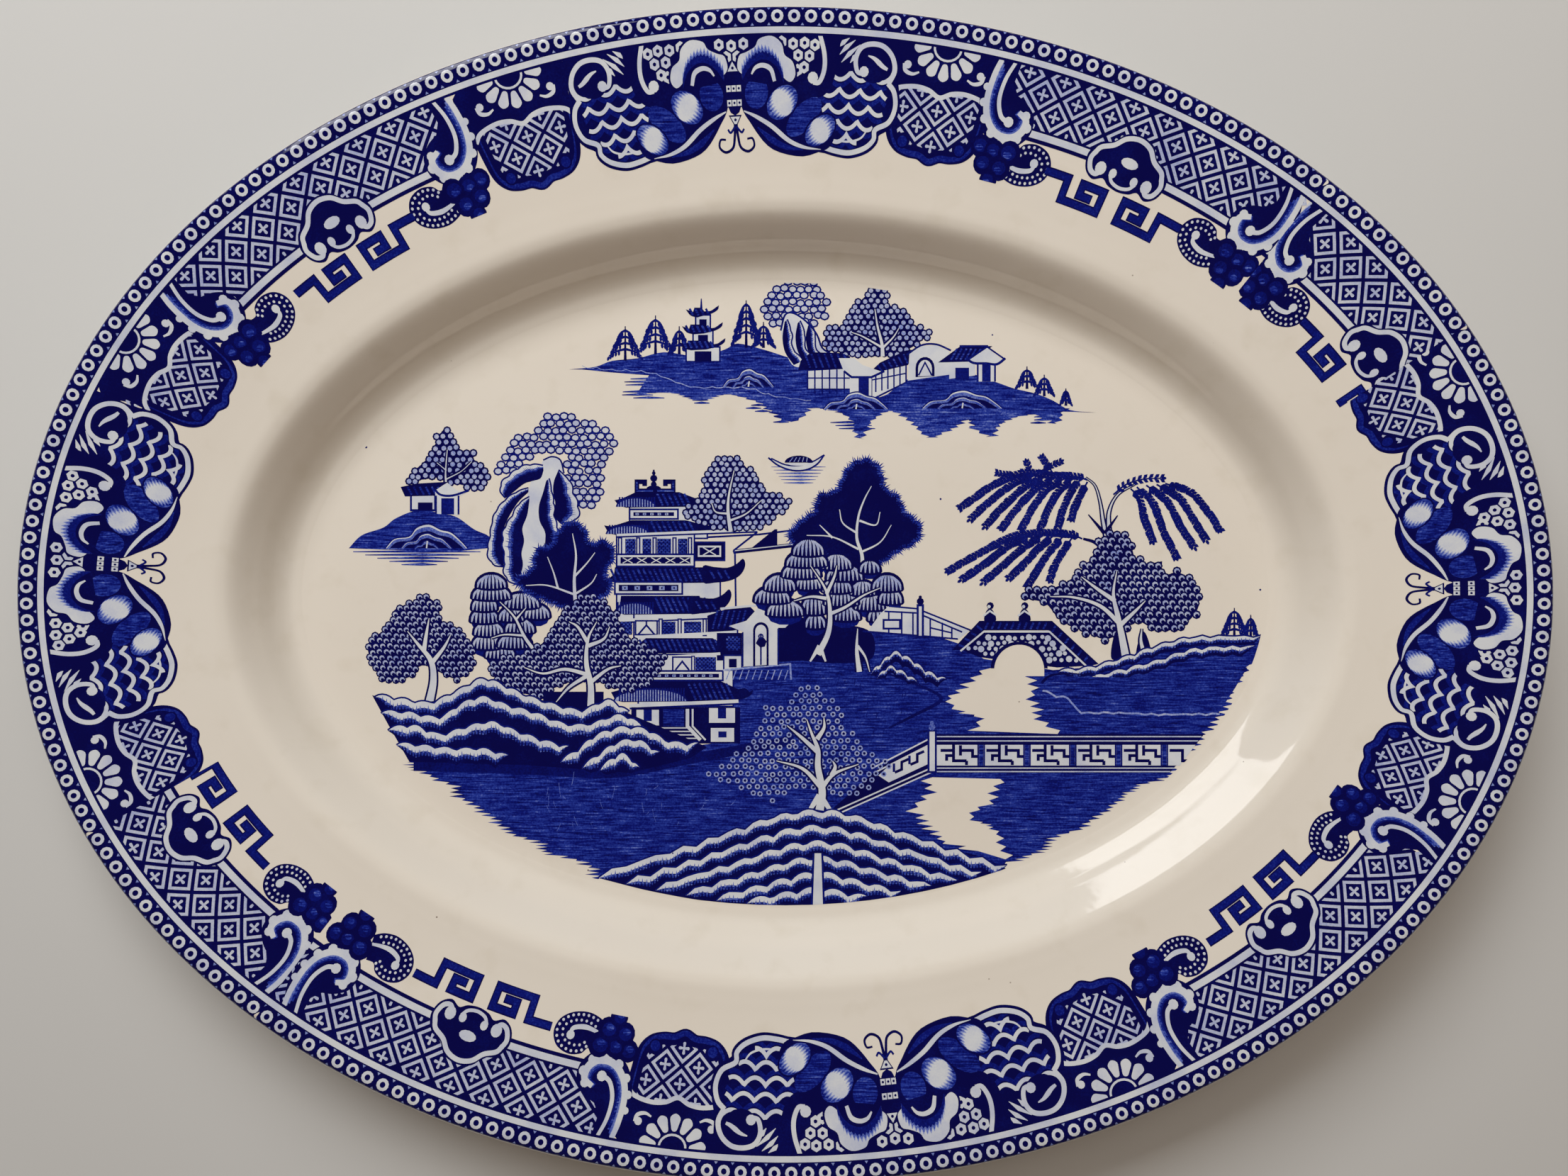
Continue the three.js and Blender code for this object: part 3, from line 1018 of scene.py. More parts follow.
def roof(pen, left, right, y, rise, gable=0, tips=(1, 1), ridge_inset=2.2):
    """A tiled roof with turned-up tips. Its gable, at the left, is striped."""
    horn = curve(
        [(left - 0.3, y + rise * 0.9 * tips[0]), (left + 0.8, y + 0.3), (left + 2.4, y - 0.2)], 4
    )
    eave = [
        (right - 4.4, y), (right - 1.8, y + 0.7), (right - 0.3, y + rise * 0.7 * tips[1]),
        (right, y + rise * 1.15 * tips[1]),
    ]
    back = [
        (right - 0.8, y + rise * 0.92 * tips[1]), (right - 1.9, y + rise * 0.66),
        (right - 3.4, y + rise * 0.6),
    ]
    crest = [
        (right - ridge_inset - 2.4, y + rise), (left + ridge_inset, y + rise),
        (left + 1.4, y + rise * 0.55),
    ]
    pen.fill(np.vstack([horn, curve(eave, 4), curve(back, 3), crest]))
    start = left + gable
    for x in np.arange(start + 0.6, right - ridge_inset - 0.8, 1.25):
        pen.line([(x, y + rise * 0.9), (x + rise * 0.38, y + 0.35)], 0.42, HATCH)
    if gable:
        arch = arc(left + gable * 0.52, y, gable * 0.5, rise * 0.62, 0, 180, 10)
        pen.fill(arch, PALE)
        for x in np.arange(left + gable * 0.1, start, 0.62):
            pen.line([(x, y), (x, y + rise * 0.66)], 0.3)
        pen.line(arch, 0.3)


def wall(pen, left, foot, right, top, ink=BARE, edge=0.3):
    """A rectangle, with a dark edge unless the edge's width is zero."""
    pen.fill(box(left, foot, right, top), ink)
    if edge:
        pen.line(box(left, foot, right, top), edge, SOLID, closed=True)


def trellis(pen, left, foot, right, top, ink=MID, gap=0.9):
    """A dark panel crossed by fine pale lines both ways."""
    pen.fill(box(left, foot, right, top))
    high = top - foot
    for x in np.arange(left - high, right, gap):
        for slope in (1, -1):
            a, b = max(x, left), min(x + high, right)
            if b - a > 0.3:
                ys = [foot + (v - x) for v in (a, b)] if slope > 0 else [top - (v - x) for v in (a, b)]
                pen.line([(a, ys[0]), (b, ys[1])], 0.16, ink)


def balustrade(pen, left, foot, right, top, style="dots"):
    """A bare frame round a dark strip of dots or crosses."""
    wall(pen, left, foot, right, top, BARE, 0.35)
    x0, y0, x1, y1 = left + 0.9, foot + 0.65, right - 0.9, top - 0.65
    pen.fill(box(x0, y0, x1, y1))
    middle, high = (y0 + y1) / 2, y1 - y0
    pitch = high * (1.9 if style == "dots" else 2.2)
    for x in np.arange(x0 + pitch / 2, x1 - pitch * 0.2, pitch):
        if style == "dots":
            wall(pen, x - high * 0.42, middle - high * 0.3, x + high * 0.42, middle + high * 0.3, PALE, 0)
            pen.dot(x, middle, high * 0.16, SOLID, 6)
        else:
            for lean in (-0.42, 0.42):
                ends = [(x - high * 0.75, middle - lean * high), (x + high * 0.75, middle + lean * high)]
                pen.line(ends, 0.3, BARE)


# ---------------------------------------------------------------- the parts of the centre scene
def far_island(pen):
    """The island in the distance, with its mirror image and firs."""
    shore = [
        (-47, 52), (-40, 51.3), (-31, 50.6), (-22, 47.5), (-14, 47.3), (-8, 47), (-3, 45.4), (6, 44.2),
        (22, 43), (45, 42.6), (66, 42.2),
    ]
    mirror = [
        (-36, 46), (-28, 46.6), (-20, 44.8), (-12, 46.2), (-5, 43.4), (1, 39.8), (5, 43), (11, 42.2),
        (14, 40.2), (17, 35.8), (20, 40), (25, 42.4), (30, 39), (33.5, 36.2), (38, 38.5), (42, 40.4),
        (46.5, 36.4), (50, 39.4), (57, 41.6), (61, 39.4), (64, 42),
    ]
    pen.fill(
        np.vstack([curve(shore[2:], 4) + (0, 0.8), jagged(mirror[::-1], 1.5, 0.8)]), FAR_HATCH - 0.08
    )
    for x, y, reach in (
        (-33, 45.4, 6), (-19.5, 44.2, 3), (0, 39.8, 3), (-6, 42.3, 3), (60, 39.6, 3), (16, 38.3, 7),
        (34, 38.5, 6), (47, 38.8, 6), (-31, 48.4, 8),
    ):
        for i in range(3):
            shift = random.uniform(-1.5, 1.5)
            pen.line(
                [
                    (x - reach * 0.6 + shift, y + i * 0.7), (x + shift, y + i * 0.7 + 0.1),
                    (x + reach * 0.6 + shift, y + i * 0.7),
                ],
                (0.1, 0.5, 0.1), MID,
            )
    top = [
        (-50, 52), (-44, 52.6), (-40, 54), (-34, 54.6), (-28, 56), (-20, 55), (-14, 56.6), (-11, 58),
        (-5, 56.6), (0, 55), (6, 53), (14, 48), (22, 45.6), (28, 49.6), (34, 50.4), (42, 51.2), (49, 49),
        (53, 47.6), (58, 46.4), (62, 44.8), (66, 42.6), (72, 42),
    ]
    pen.fill(np.vstack([curve(top, 4), shore[::-1]]), FAR_HATCH)
    bank = scalloped(shore[:8], 3.4, -0.5)
    pen.line(bank + (0, 0.9), (0.1, 0.3, 0.3, 0.2), PALE)
    for x, y, wide, high in (
        (-37, 54, 7.5, 8), (-30, 55.5, 7.5, 9), (-24.5, 55.5, 4.5, 6.5), (-9, 57, 6.5, 11), (-5, 57, 5, 6)
    ):
        fir(pen, x, y, wide, high)
    for x, y, wide, high in ((56, 47.5, 5, 5.2), (60, 45.8, 4.6, 5), (65, 43.6, 2.8, 4)):
        fir(pen, x, y, wide, high)
    stone(pen, -8.5, 48, 6, 4.2)


def far_tower(pen):
    """The island's small tower."""
    for y, half in ((55.6, 3.9), (59.4, 2.3), (63, 1.7)):
        wall(pen, -19 - half, y - 1.8, -19 + half, y + 1.6)
        wall(pen, -19 - half * 0.5, y - 1.8, -19 + half * 0.5, y + 0.6, SOLID, 0)
    for y, half in ((56.6, 5.2), (60.3, 4.6), (64.2, 3.7)):
        roof(pen, -19 - half, -19 + half, y, 2.1, tips=(0.9, 1.1), ridge_inset=1.7)
    pen.line([(-19.4, 66), (-19.4, 68.4)], (0.5, 0.15))


def far_crag(pen):
    """The island's crag, and its tree of rings."""
    foliage(
        pen,
        [
            (-4.5, 63), (-4.5, 68), (-2, 71.5), (2, 73), (6, 72.5), (9.6, 69.6), (9.8, 64.5), (6.5, 61.6),
            (3, 63), (-1, 62),
        ],
        1.9, "rings",
    )
    crag = [(-1, 61), (0, 64.6), (2, 65), (5, 63), (7.4, 60), (8.6, 57), (11, 55.4), (4, 52.6), (1, 54)]
    pen.blob(crag, BARE, 4)
    for x, tilt in ((-0.4, 0), (2.6, 0.3), (5, 0.9)):
        bare = [(x + 0.9, 63.6 - tilt), (x + 1.9, 60), (x + 2, 57), (x + 4.6, 54)]
        fold(pen, bare, [(x + 0.3, 63 - tilt), (x - 0.2, 59.4), (x + 0.4, 56), (x + 2.4, 53)], 24)
    pen.bend([(-1, 61), (0, 64.6), (2, 65), (5, 63), (7.4, 60), (8.6, 57), (11, 55.4)], 0.35, SOLID, 4)


def far_tree(pen):
    """The beaded tree behind the island's houses."""
    crown = [
        (9, 57), (9.6, 61.6), (13, 62.6), (15, 66.6), (18, 69), (20.6, 72.2), (23, 70.4), (24.8, 67),
        (28.6, 65.6), (30, 62.8), (33.8, 60.8), (32, 58.4), (28, 56), (22, 54.6), (14, 55.4),
    ]
    foliage(pen, crown, 1.5, "beads")
    branches(
        pen,
        [
            [(22.6, 55), (22.4, 58), (21.4, 62), (20.8, 66)], [(22.6, 57), (18, 59.6), (15.4, 60.6)],
            [(22.6, 57), (25, 59.4), (26.4, 61.6)],
        ],
        1,
    )


def far_houses(pen):
    """The two houses at the left of the island's row."""
    for left, right in ((5.2, 15.4), (19.6, 28)):
        slope = 0 if left < 10 else 0.55
        outline = [(left, 47.4), (right, 47.4 + slope * 3), (right, 52.4 + slope), (left, 51.8)]
        if slope:
            outline = [(left + 0.4, 45), (right, 49), (right, 54), (left + 0.4, 51)]
        pen.fill(outline, BARE)
        pen.line(outline, 0.3, SOLID, closed=True)
        for i in range(1, 6):
            x = left + (right - left) * i / 6
            pen.line([(x, 46.4 + slope * i / 1.6), (x, 52 + slope * i / 2)], 0.26, STRONG)
        pen.line([(left, 50 - slope), (right, 50 + slope * 2)], 0.24, STRONG)
    pen.fill([(3, 51.8), (15.6, 52.2), (15, 55), (13, 55.8), (6, 56), (3.6, 54)])
    pen.fill([(19, 50.8), (28.4, 53), (31.4, 56.8), (28, 56.4), (22, 53.6)])
    for i in range(7):
        pen.line([(4.6 + i * 1.5, 55.6), (5.8 + i * 1.5, 52.4)], 0.36, HATCH)
        pen.line([(21.4 + i * 1.2, 53 + i * 0.5), (22.4 + i * 1.2, 51.7 + i * 0.34)], 0.32, HATCH)


def far_gates(pen):
    """The rest of the island's row: a gate, a round-headed house, a hut and the last gate."""
    gate = [
        (14, 50.6), (15, 50.4), (15, 46.4), (20, 45.4), (20, 50.4), (22.6, 51.4), (18, 53), (16, 54.6),
        (12.4, 54.6),
    ]
    pen.fill(gate, BARE)
    pen.line([(13.6, 51.6), (15.4, 50.2), (20, 50.2), (23, 51.6)], 0.45)
    wall(pen, 17.2, 46, 19.2, 50, STRONG, 0.3)
    pen.fill([(28.4, 49.4), (38, 50.8), (38, 56.2), (35, 57.6), (31.6, 57.4), (28.8, 55.8)], BARE)
    pen.bend([(28.2, 55.4), (31.6, 57.6), (35, 57.8), (38.4, 56.4)], 0.35)
    pen.fill(np.vstack([[(30.2, 50.2), (34.6, 50.4)], arc(32.4, 52.4, 2.2, 2.5, 0, 180, 10)]))
    pen.fill(np.vstack([[(30.8, 50.4), (34, 50.5)], arc(32.4, 52.2, 1.6, 2, 0, 180, 10)]), BARE)
    pen.line([(30.9, 50.6), (32.4, 53.6), (34, 50.6)], 0.3)
    pen.fill([(38, 49.8), (44, 50.6), (44, 54), (38, 54)], BARE)
    wall(pen, 39.6, 49.8, 42.4, 52.2, STRONG, 0.3)
    pen.fill([(35.4, 53.6), (43.4, 53.8), (48, 57.4), (40.6, 57.4)])
    pen.line([(40.4, 57.4), (47, 57.4)], 0.4)
    for i in range(6):
        pen.line([(39.8 + i * 1.1, 56.8), (38.4 + i * 1.1, 54.2)], 0.34, HATCH)
    pen.fill(
        [(44.4, 49.2), (48.6, 49.2), (48.6, 53.2), (50.6, 54), (46.8, 57), (42.4, 54), (44.4, 53.2)], BARE
    )
    pen.bend([(42, 54.6), (43.6, 53.5), (46.6, 53.4), (49, 53.2), (51, 54.6)], 0.5, SOLID, 4)
    pen.line([(42.2, 54.4), (46.8, 57.2)], 0.3)
    pen.line([(46.8, 57.2), (50.8, 54.4)], 0.3)
    for x in (44.6, 48.6):
        pen.line([(x, 49.2), (x, 53.4)], 0.35)
    wall(pen, 45.8, 49.4, 47.4, 53, STRONG, 0.3)
    stone(pen, 16.4, 42.8, 7.6, 4)
    stone(pen, 41, 43, 9.4, 4.2)


def west_islet(pen):
    """The small island at the left, with one tree and two huts."""
    for i in range(5):
        y, reach = 9.8 - i * 0.75, 15 - i * 2.8
        pen.line([(-85 - reach, y), (-84, y + 0.1), (-84 + reach * 0.9, y)], (0.1, 0.6, 0.1), MID)
    hill = [
        (-101, 10.6), (-98, 13.6), (-93, 15.4), (-90, 17.6), (-85, 19.4), (-80, 18.8), (-76, 17.8),
        (-72, 15), (-68.6, 13.4), (-67, 10.8),
    ]
    pen.fill(np.vstack([curve(hill), [(-75, 10), (-90, 10.2)]]), FAR_HATCH)
    crown = [
        (-88, 26), (-86, 29), (-83.5, 31.4), (-81.6, 34.6), (-79.4, 38.4), (-77.2, 37), (-76, 34),
        (-72.6, 33.2), (-71, 30.4), (-68.8, 29), (-68.6, 26), (-71, 24.4), (-75, 24.8), (-80, 26.4),
        (-84, 26),
    ]
    foliage(pen, crown, 1.6, "beads")
    branches(
        pen,
        [
            [(-78.4, 25), (-78.6, 28), (-78.2, 33.4)], [(-78.4, 26.6), (-75, 28.4), (-72.6, 30.6)],
            [(-78.4, 28.6), (-80.6, 30.4)],
        ],
        0.6,
    )
    wall(pen, -86.6, 19.4, -81, 23, BARE, 0.4)
    wall(pen, -85, 19.4, -81.6, 21.2, SOLID, 0)
    pen.fill([(-89, 24.8), (-88, 22.6), (-79, 22.8), (-78, 26), (-85, 25.6)])
    for i in range(6):
        pen.line([(-87.4 + i * 1.4, 24.8), (-86.4 + i * 1.4, 23)], 0.36, HATCH)
    pen.fill(
        [(-80.8, 18.6), (-75.6, 18.2), (-75.4, 22.6), (-73.6, 23.6), (-76, 24), (-78.2, 25.8), (-81, 24)],
        BARE,
    )
    pen.bend([(-81.2, 24.4), (-79.8, 23), (-77, 22.8), (-73.2, 24)], 0.45, SOLID, 4)
    for x in (-80.8, -75.6):
        pen.line([(x, 18.4), (x, 22.8)], 0.35)
    wall(pen, -79.4, 18.6, -76.8, 22, STRONG, 0.3)
    stone(pen, -83, 10.6, 9.6, 5.6)


def boat(pen):
    """The covered boat on the far water."""
    pen = pen.at(1.7, 5.5, size=0.82)
    for i in range(6):
        y, reach = 29.2 - i * 0.9, 7.6 - i * 0.7
        pen.line([(1.6 - reach, y), (2.4, y), (1.8 + reach, y)], (0.1, 0.7, 0.1), SOFT)
    hull = [
        (-6.8, 31.8), (-4, 29.6), (0, 28.2), (4, 28.4), (7, 30), (9, 32.6), (5.6, 30.6), (2, 29.6),
        (-2, 29.8), (-6, 31.6),
    ]
    pen.blob(hull, BARE, 3)
    pen.bend(hull[:6], 0.4, SOLID, 4)
    pen.bend(hull[5:], 0.35, SOLID, 4)
    awning = arc(1.8, 30.4, 4, 2, 0, 180, 12)
    pen.fill(awning)
    for i in range(5):
        pen.line([(-0.8 + i * 1.2, 30.6), (0.2 + i, 31.9)], 0.3, PALE)
    pen.fill(arc(1.8, 30.3, 3.6, 0.8, 180, 360, 8), BARE)


def crag(pen):
    """The tall leaning rock at the left, with its tree of open rings."""
    crown = [
        (-66, 27), (-66, 32), (-63, 35.6), (-58, 37.6), (-54.6, 41.4), (-50, 41.6), (-46, 39.6),
        (-41.6, 39), (-39, 35.4), (-41.4, 31.6), (-42, 27), (-42.4, 23), (-45.6, 20.2), (-48.6, 21),
        (-50.4, 26), (-51, 31.4), (-57, 32), (-61, 29.4),
    ]
    foliage(pen, crown, 1.9, "rings")
    spire = [
        (-59.4, 24), (-57, 28), (-56, 31), (-54, 31.8), (-52, 31), (-51.2, 28), (-50, 24), (-52, 17),
        (-53, 11), (-58, 2), (-62, 3),
    ]
    pen.blob(spire, BARE, 4)
    pen.bend(spire[2:6], 0.3, SOLID, 4)
    fold(
        pen,
        [
            (-64.9, 22.3), (-65.8, 23.8), (-65.4, 25.8), (-63.7, 27.4), (-61.6, 29), (-59.1, 29.8),
            (-56, 29.8),
        ],
        [
            (-64.9, 22.1), (-63.8, 22.9), (-62.4, 24), (-60.3, 25.6), (-58.3, 26.2), (-56.6, 26.8),
            (-55.9, 28.6),
        ],
    )
    fold(
        pen,
        [
            (-59.4, 24.6), (-62, 23.6), (-64.5, 21.9), (-66.6, 19.4), (-67.6, 16.9), (-68.2, 13.2),
            (-68.7, 9.4), (-67.4, 6.9), (-65.1, 6.3),
        ],
        [
            (-59.4, 23.6), (-61.6, 21.5), (-63.3, 19), (-64.9, 15.7), (-65.3, 12.3), (-65.1, 9.4),
            (-65.1, 6.2),
        ],
    )
    fold(
        pen,
        [
            (-59.2, 22.6), (-61.6, 20.7), (-63, 18.2), (-64.9, 14.8), (-65.1, 11.1), (-64.7, 8.2),
            (-64.9, 5.3), (-64, 3.2), (-62, 2.2),
        ],
        [
            (-59.2, 21.5), (-59.7, 18.2), (-60.8, 15.2), (-60.4, 12.3), (-61, 9.4), (-60.7, 6.5),
            (-61.9, 2.4),
        ],
    )
    fold(
        pen,
        [
            (-54.6, 26.8), (-54.1, 23.6), (-53.6, 20.7), (-53.6, 18.2), (-52.8, 15.2), (-52.3, 12.7),
            (-53.6, 10),
        ],
        [(-55.3, 26.2), (-56, 23.6), (-57, 20.2), (-56.8, 16.9), (-55.5, 14), (-55.8, 10)],
    )
    fold(
        pen,
        [
            (-52.4, 28.8), (-51.2, 27.4), (-49.9, 26), (-49.3, 23.6), (-48.6, 21.9), (-48, 19.4),
            (-48.8, 17.2), (-52, 16.4),
        ],
        [(-52.6, 28.4), (-53.5, 26.1), (-53.7, 23.6), (-53.2, 21), (-53.5, 18.2), (-52.2, 16.4)],
    )


def gate_and_garden(pen):
    """The white garden wall, its gate and the dark hollow behind it."""
    pen.line([(-21, 13), (-6, 13.8), (2, 14.8)], 0.35)
    pen.line([(-12, 9.8), (2.6, 11.4)], 0.9)
    pen.line([(-12, 10), (2.6, 11.6)], 0.3, BARE)
    pen.fill([(-7.6, 10.8), (-1.8, 11.2), (-1.8, 15), (-2.4, 15)])
    pen.line([(-12, 10), (-6.4, 14.4)], 0.35)
    pen.line([(-12, 10), (-11.6, 9.4), (-11.4, -3)], 0.35)
    pen.blob(
        [(-2, -7), (2, -5), (6, -6), (14, -7), (20, -9), (20, -15), (12, -16), (4, -15.4), (-3, -15)],
        SOLID, 5,
    )


def porch(pen):
    """The white porch with a round-headed door, to the right of the house."""
    outline = [
        (-13, -7.4), (-10.6, -8.4), (-9.8, -8.6), (-9.8, -16.8), (-1.6, -16.4), (-1.6, -7.8), (0, -7.8),
        (2, -6), (-0.4, -5.8),
    ]
    pen.fill(outline + [(-3.4, -4.2), (-5.8, -2.4), (-7, -4), (-9, -6.2)], BARE)
    door = np.vstack([[(-7.4, -16.8), (-3.8, -16.6)], arc(-5.6, -8.4, 1.8, 1.9, 0, 180, 12)])
    pen.fill(door)
    pen.fill(np.vstack([[(-6.9, -16.6), (-4.3, -16.4)], arc(-5.6, -8.6, 1.3, 1.5, 0, 180, 12)]), BARE)
    pen.line([(-5.6, -16.4), (-5.6, -9.4)], 0.3)
    leaf(pen, -6.8, -11.4, 2.6, 10, SOLID, 0.9)
    pen.line(arc(-5.6, -9.8, 0.5, steps=8), 0.25, SOLID, closed=True)
    pen.line([(-9.8, -16.8), (-9.8, -8.8)], 0.3)
    pen.line([(-1.6, -16.4), (-1.6, -8)], 0.3)


def great_house(pen):
    """The many-storeyed house: its finial and the plain walls of its storeys."""
    pen.line([(-30.4, 24), (-30.4, 28.8)], (0.9, 0.3))
    for y, r in ((25.4, 0.7), (26.8, 0.85), (28, 0.45)):
        pen.dot(-30.4, y, r, SOLID, 8)
    pen.fill(arc(-30.4, 24.2, 1.8, 1, 0, 180, 8))
    for flip in (1, -1):
        scrollwork = pen.at(-30.1, 0, flip=flip)
        scrollwork.line([(0, 23.9), (4.2, 23.9), (4.2, 26), (2.4, 26), (2.4, 25)], 1)
        scrollwork.line([(0.5, 23.9), (4.2, 23.9), (4.2, 26)], 0.3, MID)
    storeys = [
        (-37, -17, 12.9, 22), (-40, -20, 4, 14.4), (-40, -14, -6, 4), (-36, -10, -14, -4),
        (-35, -11, -26, -14),
    ]
    for left, right, foot, top in storeys:
        wall(pen, left + 1, foot, right - 1, top)


def top_storeys(pen):
    """The house's two upper roofs and the room between them."""
    roof(pen, -39.2, -17.5, 20.2, 3.4, gable=9, tips=(0.5, 0.9), ridge_inset=4.6)
    balustrade(pen, -36, 17.4, -24.8, 19.6)
    roof(pen, -41.6, -14.6, 13.9, 3.2, gable=10, tips=(0.7, 0.4), ridge_inset=6)
    pen.line([(-39, 13.6), (-6.4, 14.9)], 0.7, BARE)
    pen.line([(-39, 13.2), (-6.4, 14.4)], 0.3)
    for left, right in ((-37, -34.6), (-33, -31), (-29.6, -26.4), (-24.8, -22.6)):
        trellis(pen, left, 9.4, right, 12.8)
    for x in (-38.2, -34, -30.2, -25.6, -22):
        wall(pen, x - 0.35, 9, x + 0.35, 13, BARE, 0.25)
    wall(pen, -21, 7.8, -14, 12, SOLID, 0.3)
    wall(pen, -20.2, 8.6, -14.8, 11.2, BARE, 0)
    wall(pen, -19.8, 9, -15.2, 10.8, SOLID, 0)
    for s in (-1, 1):
        pen.line([(-19, 9.9 - s * 0.9), (-16, 9.9 + s * 0.9)], 0.35, BARE)


def middle_storeys(pen):
    """The house's two middle roofs, with their horns."""
    balustrade(pen, -39, 6.4, -21, 9.2, "crosses")
    roof(pen, -41, -13, 2.6, 3.6, tips=(0.2, 0.3), ridge_inset=1.6)
    pen.fill([(-24, 0.8), (-17, 1.4), (-17, 2.2), (-24, 2.2)], BARE)
    balustrade(pen, -39.4, 0, -23.8, 2.8)
    roof(pen, -39.6, -15.8, -4.6, 4.2, gable=9, tips=(0.1, 0.3), ridge_inset=1.6)
    horn = [
        (-19, 2.7), (-16.4, 2.6), (-13.2, 3), (-11, 3.9), (-9.7, 5.3), (-9.2, 7), (-9.8, 8.2), (-11.2, 7),
        (-13.4, 6.1), (-16.6, 6.3), (-19, 6.5),
    ]
    for shift in ((0, 0), (-3.2, -7.1)):
        pen.blob(np.add(horn, shift), SOLID, 3)
        for i in range(3):
            x, y = (-17.4 + i * 1.7 + shift[0], 5.5 + shift[1])
            pen.line([(x, y), (x + 1.1, y - 1.9)], 0.4, HATCH)


def lower_storeys(pen):
    """The two rooms over the house's ground floor."""
    pen.line([(-40, -6.2), (-18, -5.2)], 0.75, BARE)
    pen.line([(-40, -6.7), (-18, -5.7)], 0.3)
    for left, right in ((-39.4, -35.4), (-29, -25.4), (-23.4, -19.4)):
        trellis(pen, left, -9.4, right, -6.4)
    wall(pen, -34.6, -9.4, -29.6, -6.2)
    pen.line([(-34, -9.4), (-32.1, -7.2), (-30.2, -9.4)], 0.35)
    pen.line([(-32.1, -7.2), (-32.1, -6.2)], 0.3)
    for x in (-28.8, -24.4, -18.6):
        wall(pen, x - 0.35, -9.6, x + 0.35, -5.8, BARE, 0.25)
    pen.fill([(-18, -9.4), (-18, -5), (-14, -3.6), (-8, -3), (-7, -4), (-10.4, -8.2)])
    for i in range(6):
        pen.line([(-15.6 + i * 1.3, -3.8), (-16.8 + i * 1.3, -8)], 0.36, HATCH)
    pen.line([(-15, -3.4), (-6.4, -2.6)], 0.6, BARE)
    pen.line([(-33, -9.9), (-12, -8.8)], 0.7, BARE)
    roof(pen, -35.6, -11, -13.6, 3.4, tips=(0.4, 0.2), ridge_inset=3.4)
    wall(pen, -15.8, -15.4, -10, -9, SOLID, 0)
    trellis(pen, -13.6, -13, -10.4, -9.8)
    wall(pen, -14.2, -17.6, -10, -14.2)
    wall(pen, -13, -17, -11.2, -15, SOLID, 0)
    pen.line([(-27, -14.6), (-15, -13.8)], 0.7, BARE)
    wall(pen, -26, -18, -21.6, -14.6)
    pen.line([(-25.4, -17.6), (-23.8, -15.6), (-22.2, -17.6)], 0.35)
    trellis(pen, -20.8, -17.8, -16, -14.6)
    wall(pen, -21.6, -18, -21, -14.4, BARE, 0.2)
    balustrade(pen, -32.6, -20, -14.4, -17.8)
    for x in np.arange(-13.6, 1, 1.5):
        pen.line([(x, -19.8), (x + 0.8, -17.6)], 0.3, PALE)
    pen.line([(-14.4, -17.6), (1.2, -16.2), (1.4, -19.8)], 0.5, PALE)


def ground_floor(pen):
    """The house's lowest roof, its doors and steps."""
    roof(pen, -40, -7.4, -24.8, 4.6, gable=17, tips=(0.5, 0.5), ridge_inset=5)
    pen.line([(-36, -25.9), (-10.8, -24.8)], 0.9, BARE)
    pen.line([(-36, -26.5), (-10.8, -25.4)], 0.35)
    wall(pen, -35.6, -34.6, -10.4, -26.2, SOLID, 0)
    for left, foot, right, top in (
        (-34.4, -30.4, -29.2, -26.8), (-17.6, -29.8, -11.6, -26.4), (-17.2, -34.2, -11.8, -31)
    ):
        wall(pen, left, foot, right, top, BARE, 0)
        middle = (left + right) / 2
        wall(pen, middle - 0.95, foot + 1, middle + 0.95, top if foot > -31 else top - 0.8, STRONG, 0)
    pen.fill(box(-28.2, -30.6, -23.4, -26.6), HATCH)
    for x, w in ((-22.6, 0.9), (-21.4, 0.5)):
        pen.line([(x, -26.6), (x, -30.6), (x + 3, -33.8)], w, BARE)
    for i in range(4):
        pen.line([(-29 + i * 0.6, -31 - i * 0.8), (-22.6 + i, -31 - i * 0.8)], 0.35, BARE)


def left_dome_tree(pen):
    """The weeping tree at the left of the house."""
    dome = [
        (-68, 1.6, 7, 2.4), (-68, -1, 9, 2.6), (-61, -3, 8.4, 2.6), (-69.6, -3.6, 6, 2.6),
        (-57.4, -5.4, 6, 2.4), (-63.4, -6, 6, 2.4), (-69.6, -6.4, 6.6, 2.6), (-61.4, -8.8, 7, 2.6),
        (-68.6, -9.4, 7, 2.6), (-62.6, -12.2, 8, 2.6), (-69, -12.4, 7, 2.6), (-66, -14.6, 7, 2.4),
    ]
    domes(pen, dome)
    branches(
        pen,
        [
            [(-55.6, -16), (-60, -10.4), (-62.6, -5.4), (-66, -1.8)],
            [(-60.6, -9.6), (-65, -9.4), (-68, -10.2)], [(-62.4, -6), (-60, -3.2)],
        ],
        1,
    )


def left_dark_tree(pen):
    """The dark tree against the crag."""
    veins = [
        [(-48.4, -4), (-48.8, 3), (-48.4, 9), (-49.2, 14)], [(-49, 0), (-55, 2), (-60, 2)],
        [(-52.6, 1.4), (-53.6, 5), (-55, 8.6)], [(-48.8, 4), (-46, 7), (-44, 9.6)],
        [(-48.6, 0), (-45, 2.4), (-43.6, 4.6)],
    ]
    outline = [
        (-62, 2.6), (-58.6, 5.6), (-57.4, 10), (-54, 11), (-52.4, 14.4), (-49.6, 16.4), (-46.6, 15),
        (-45.4, 11.6), (-41.6, 12), (-39.8, 9), (-41.8, 5), (-40.4, 1.6), (-44, -1.6), (-50, -3),
        (-56, -1),
    ]
    dark_tree(pen, outline, veins, 1)


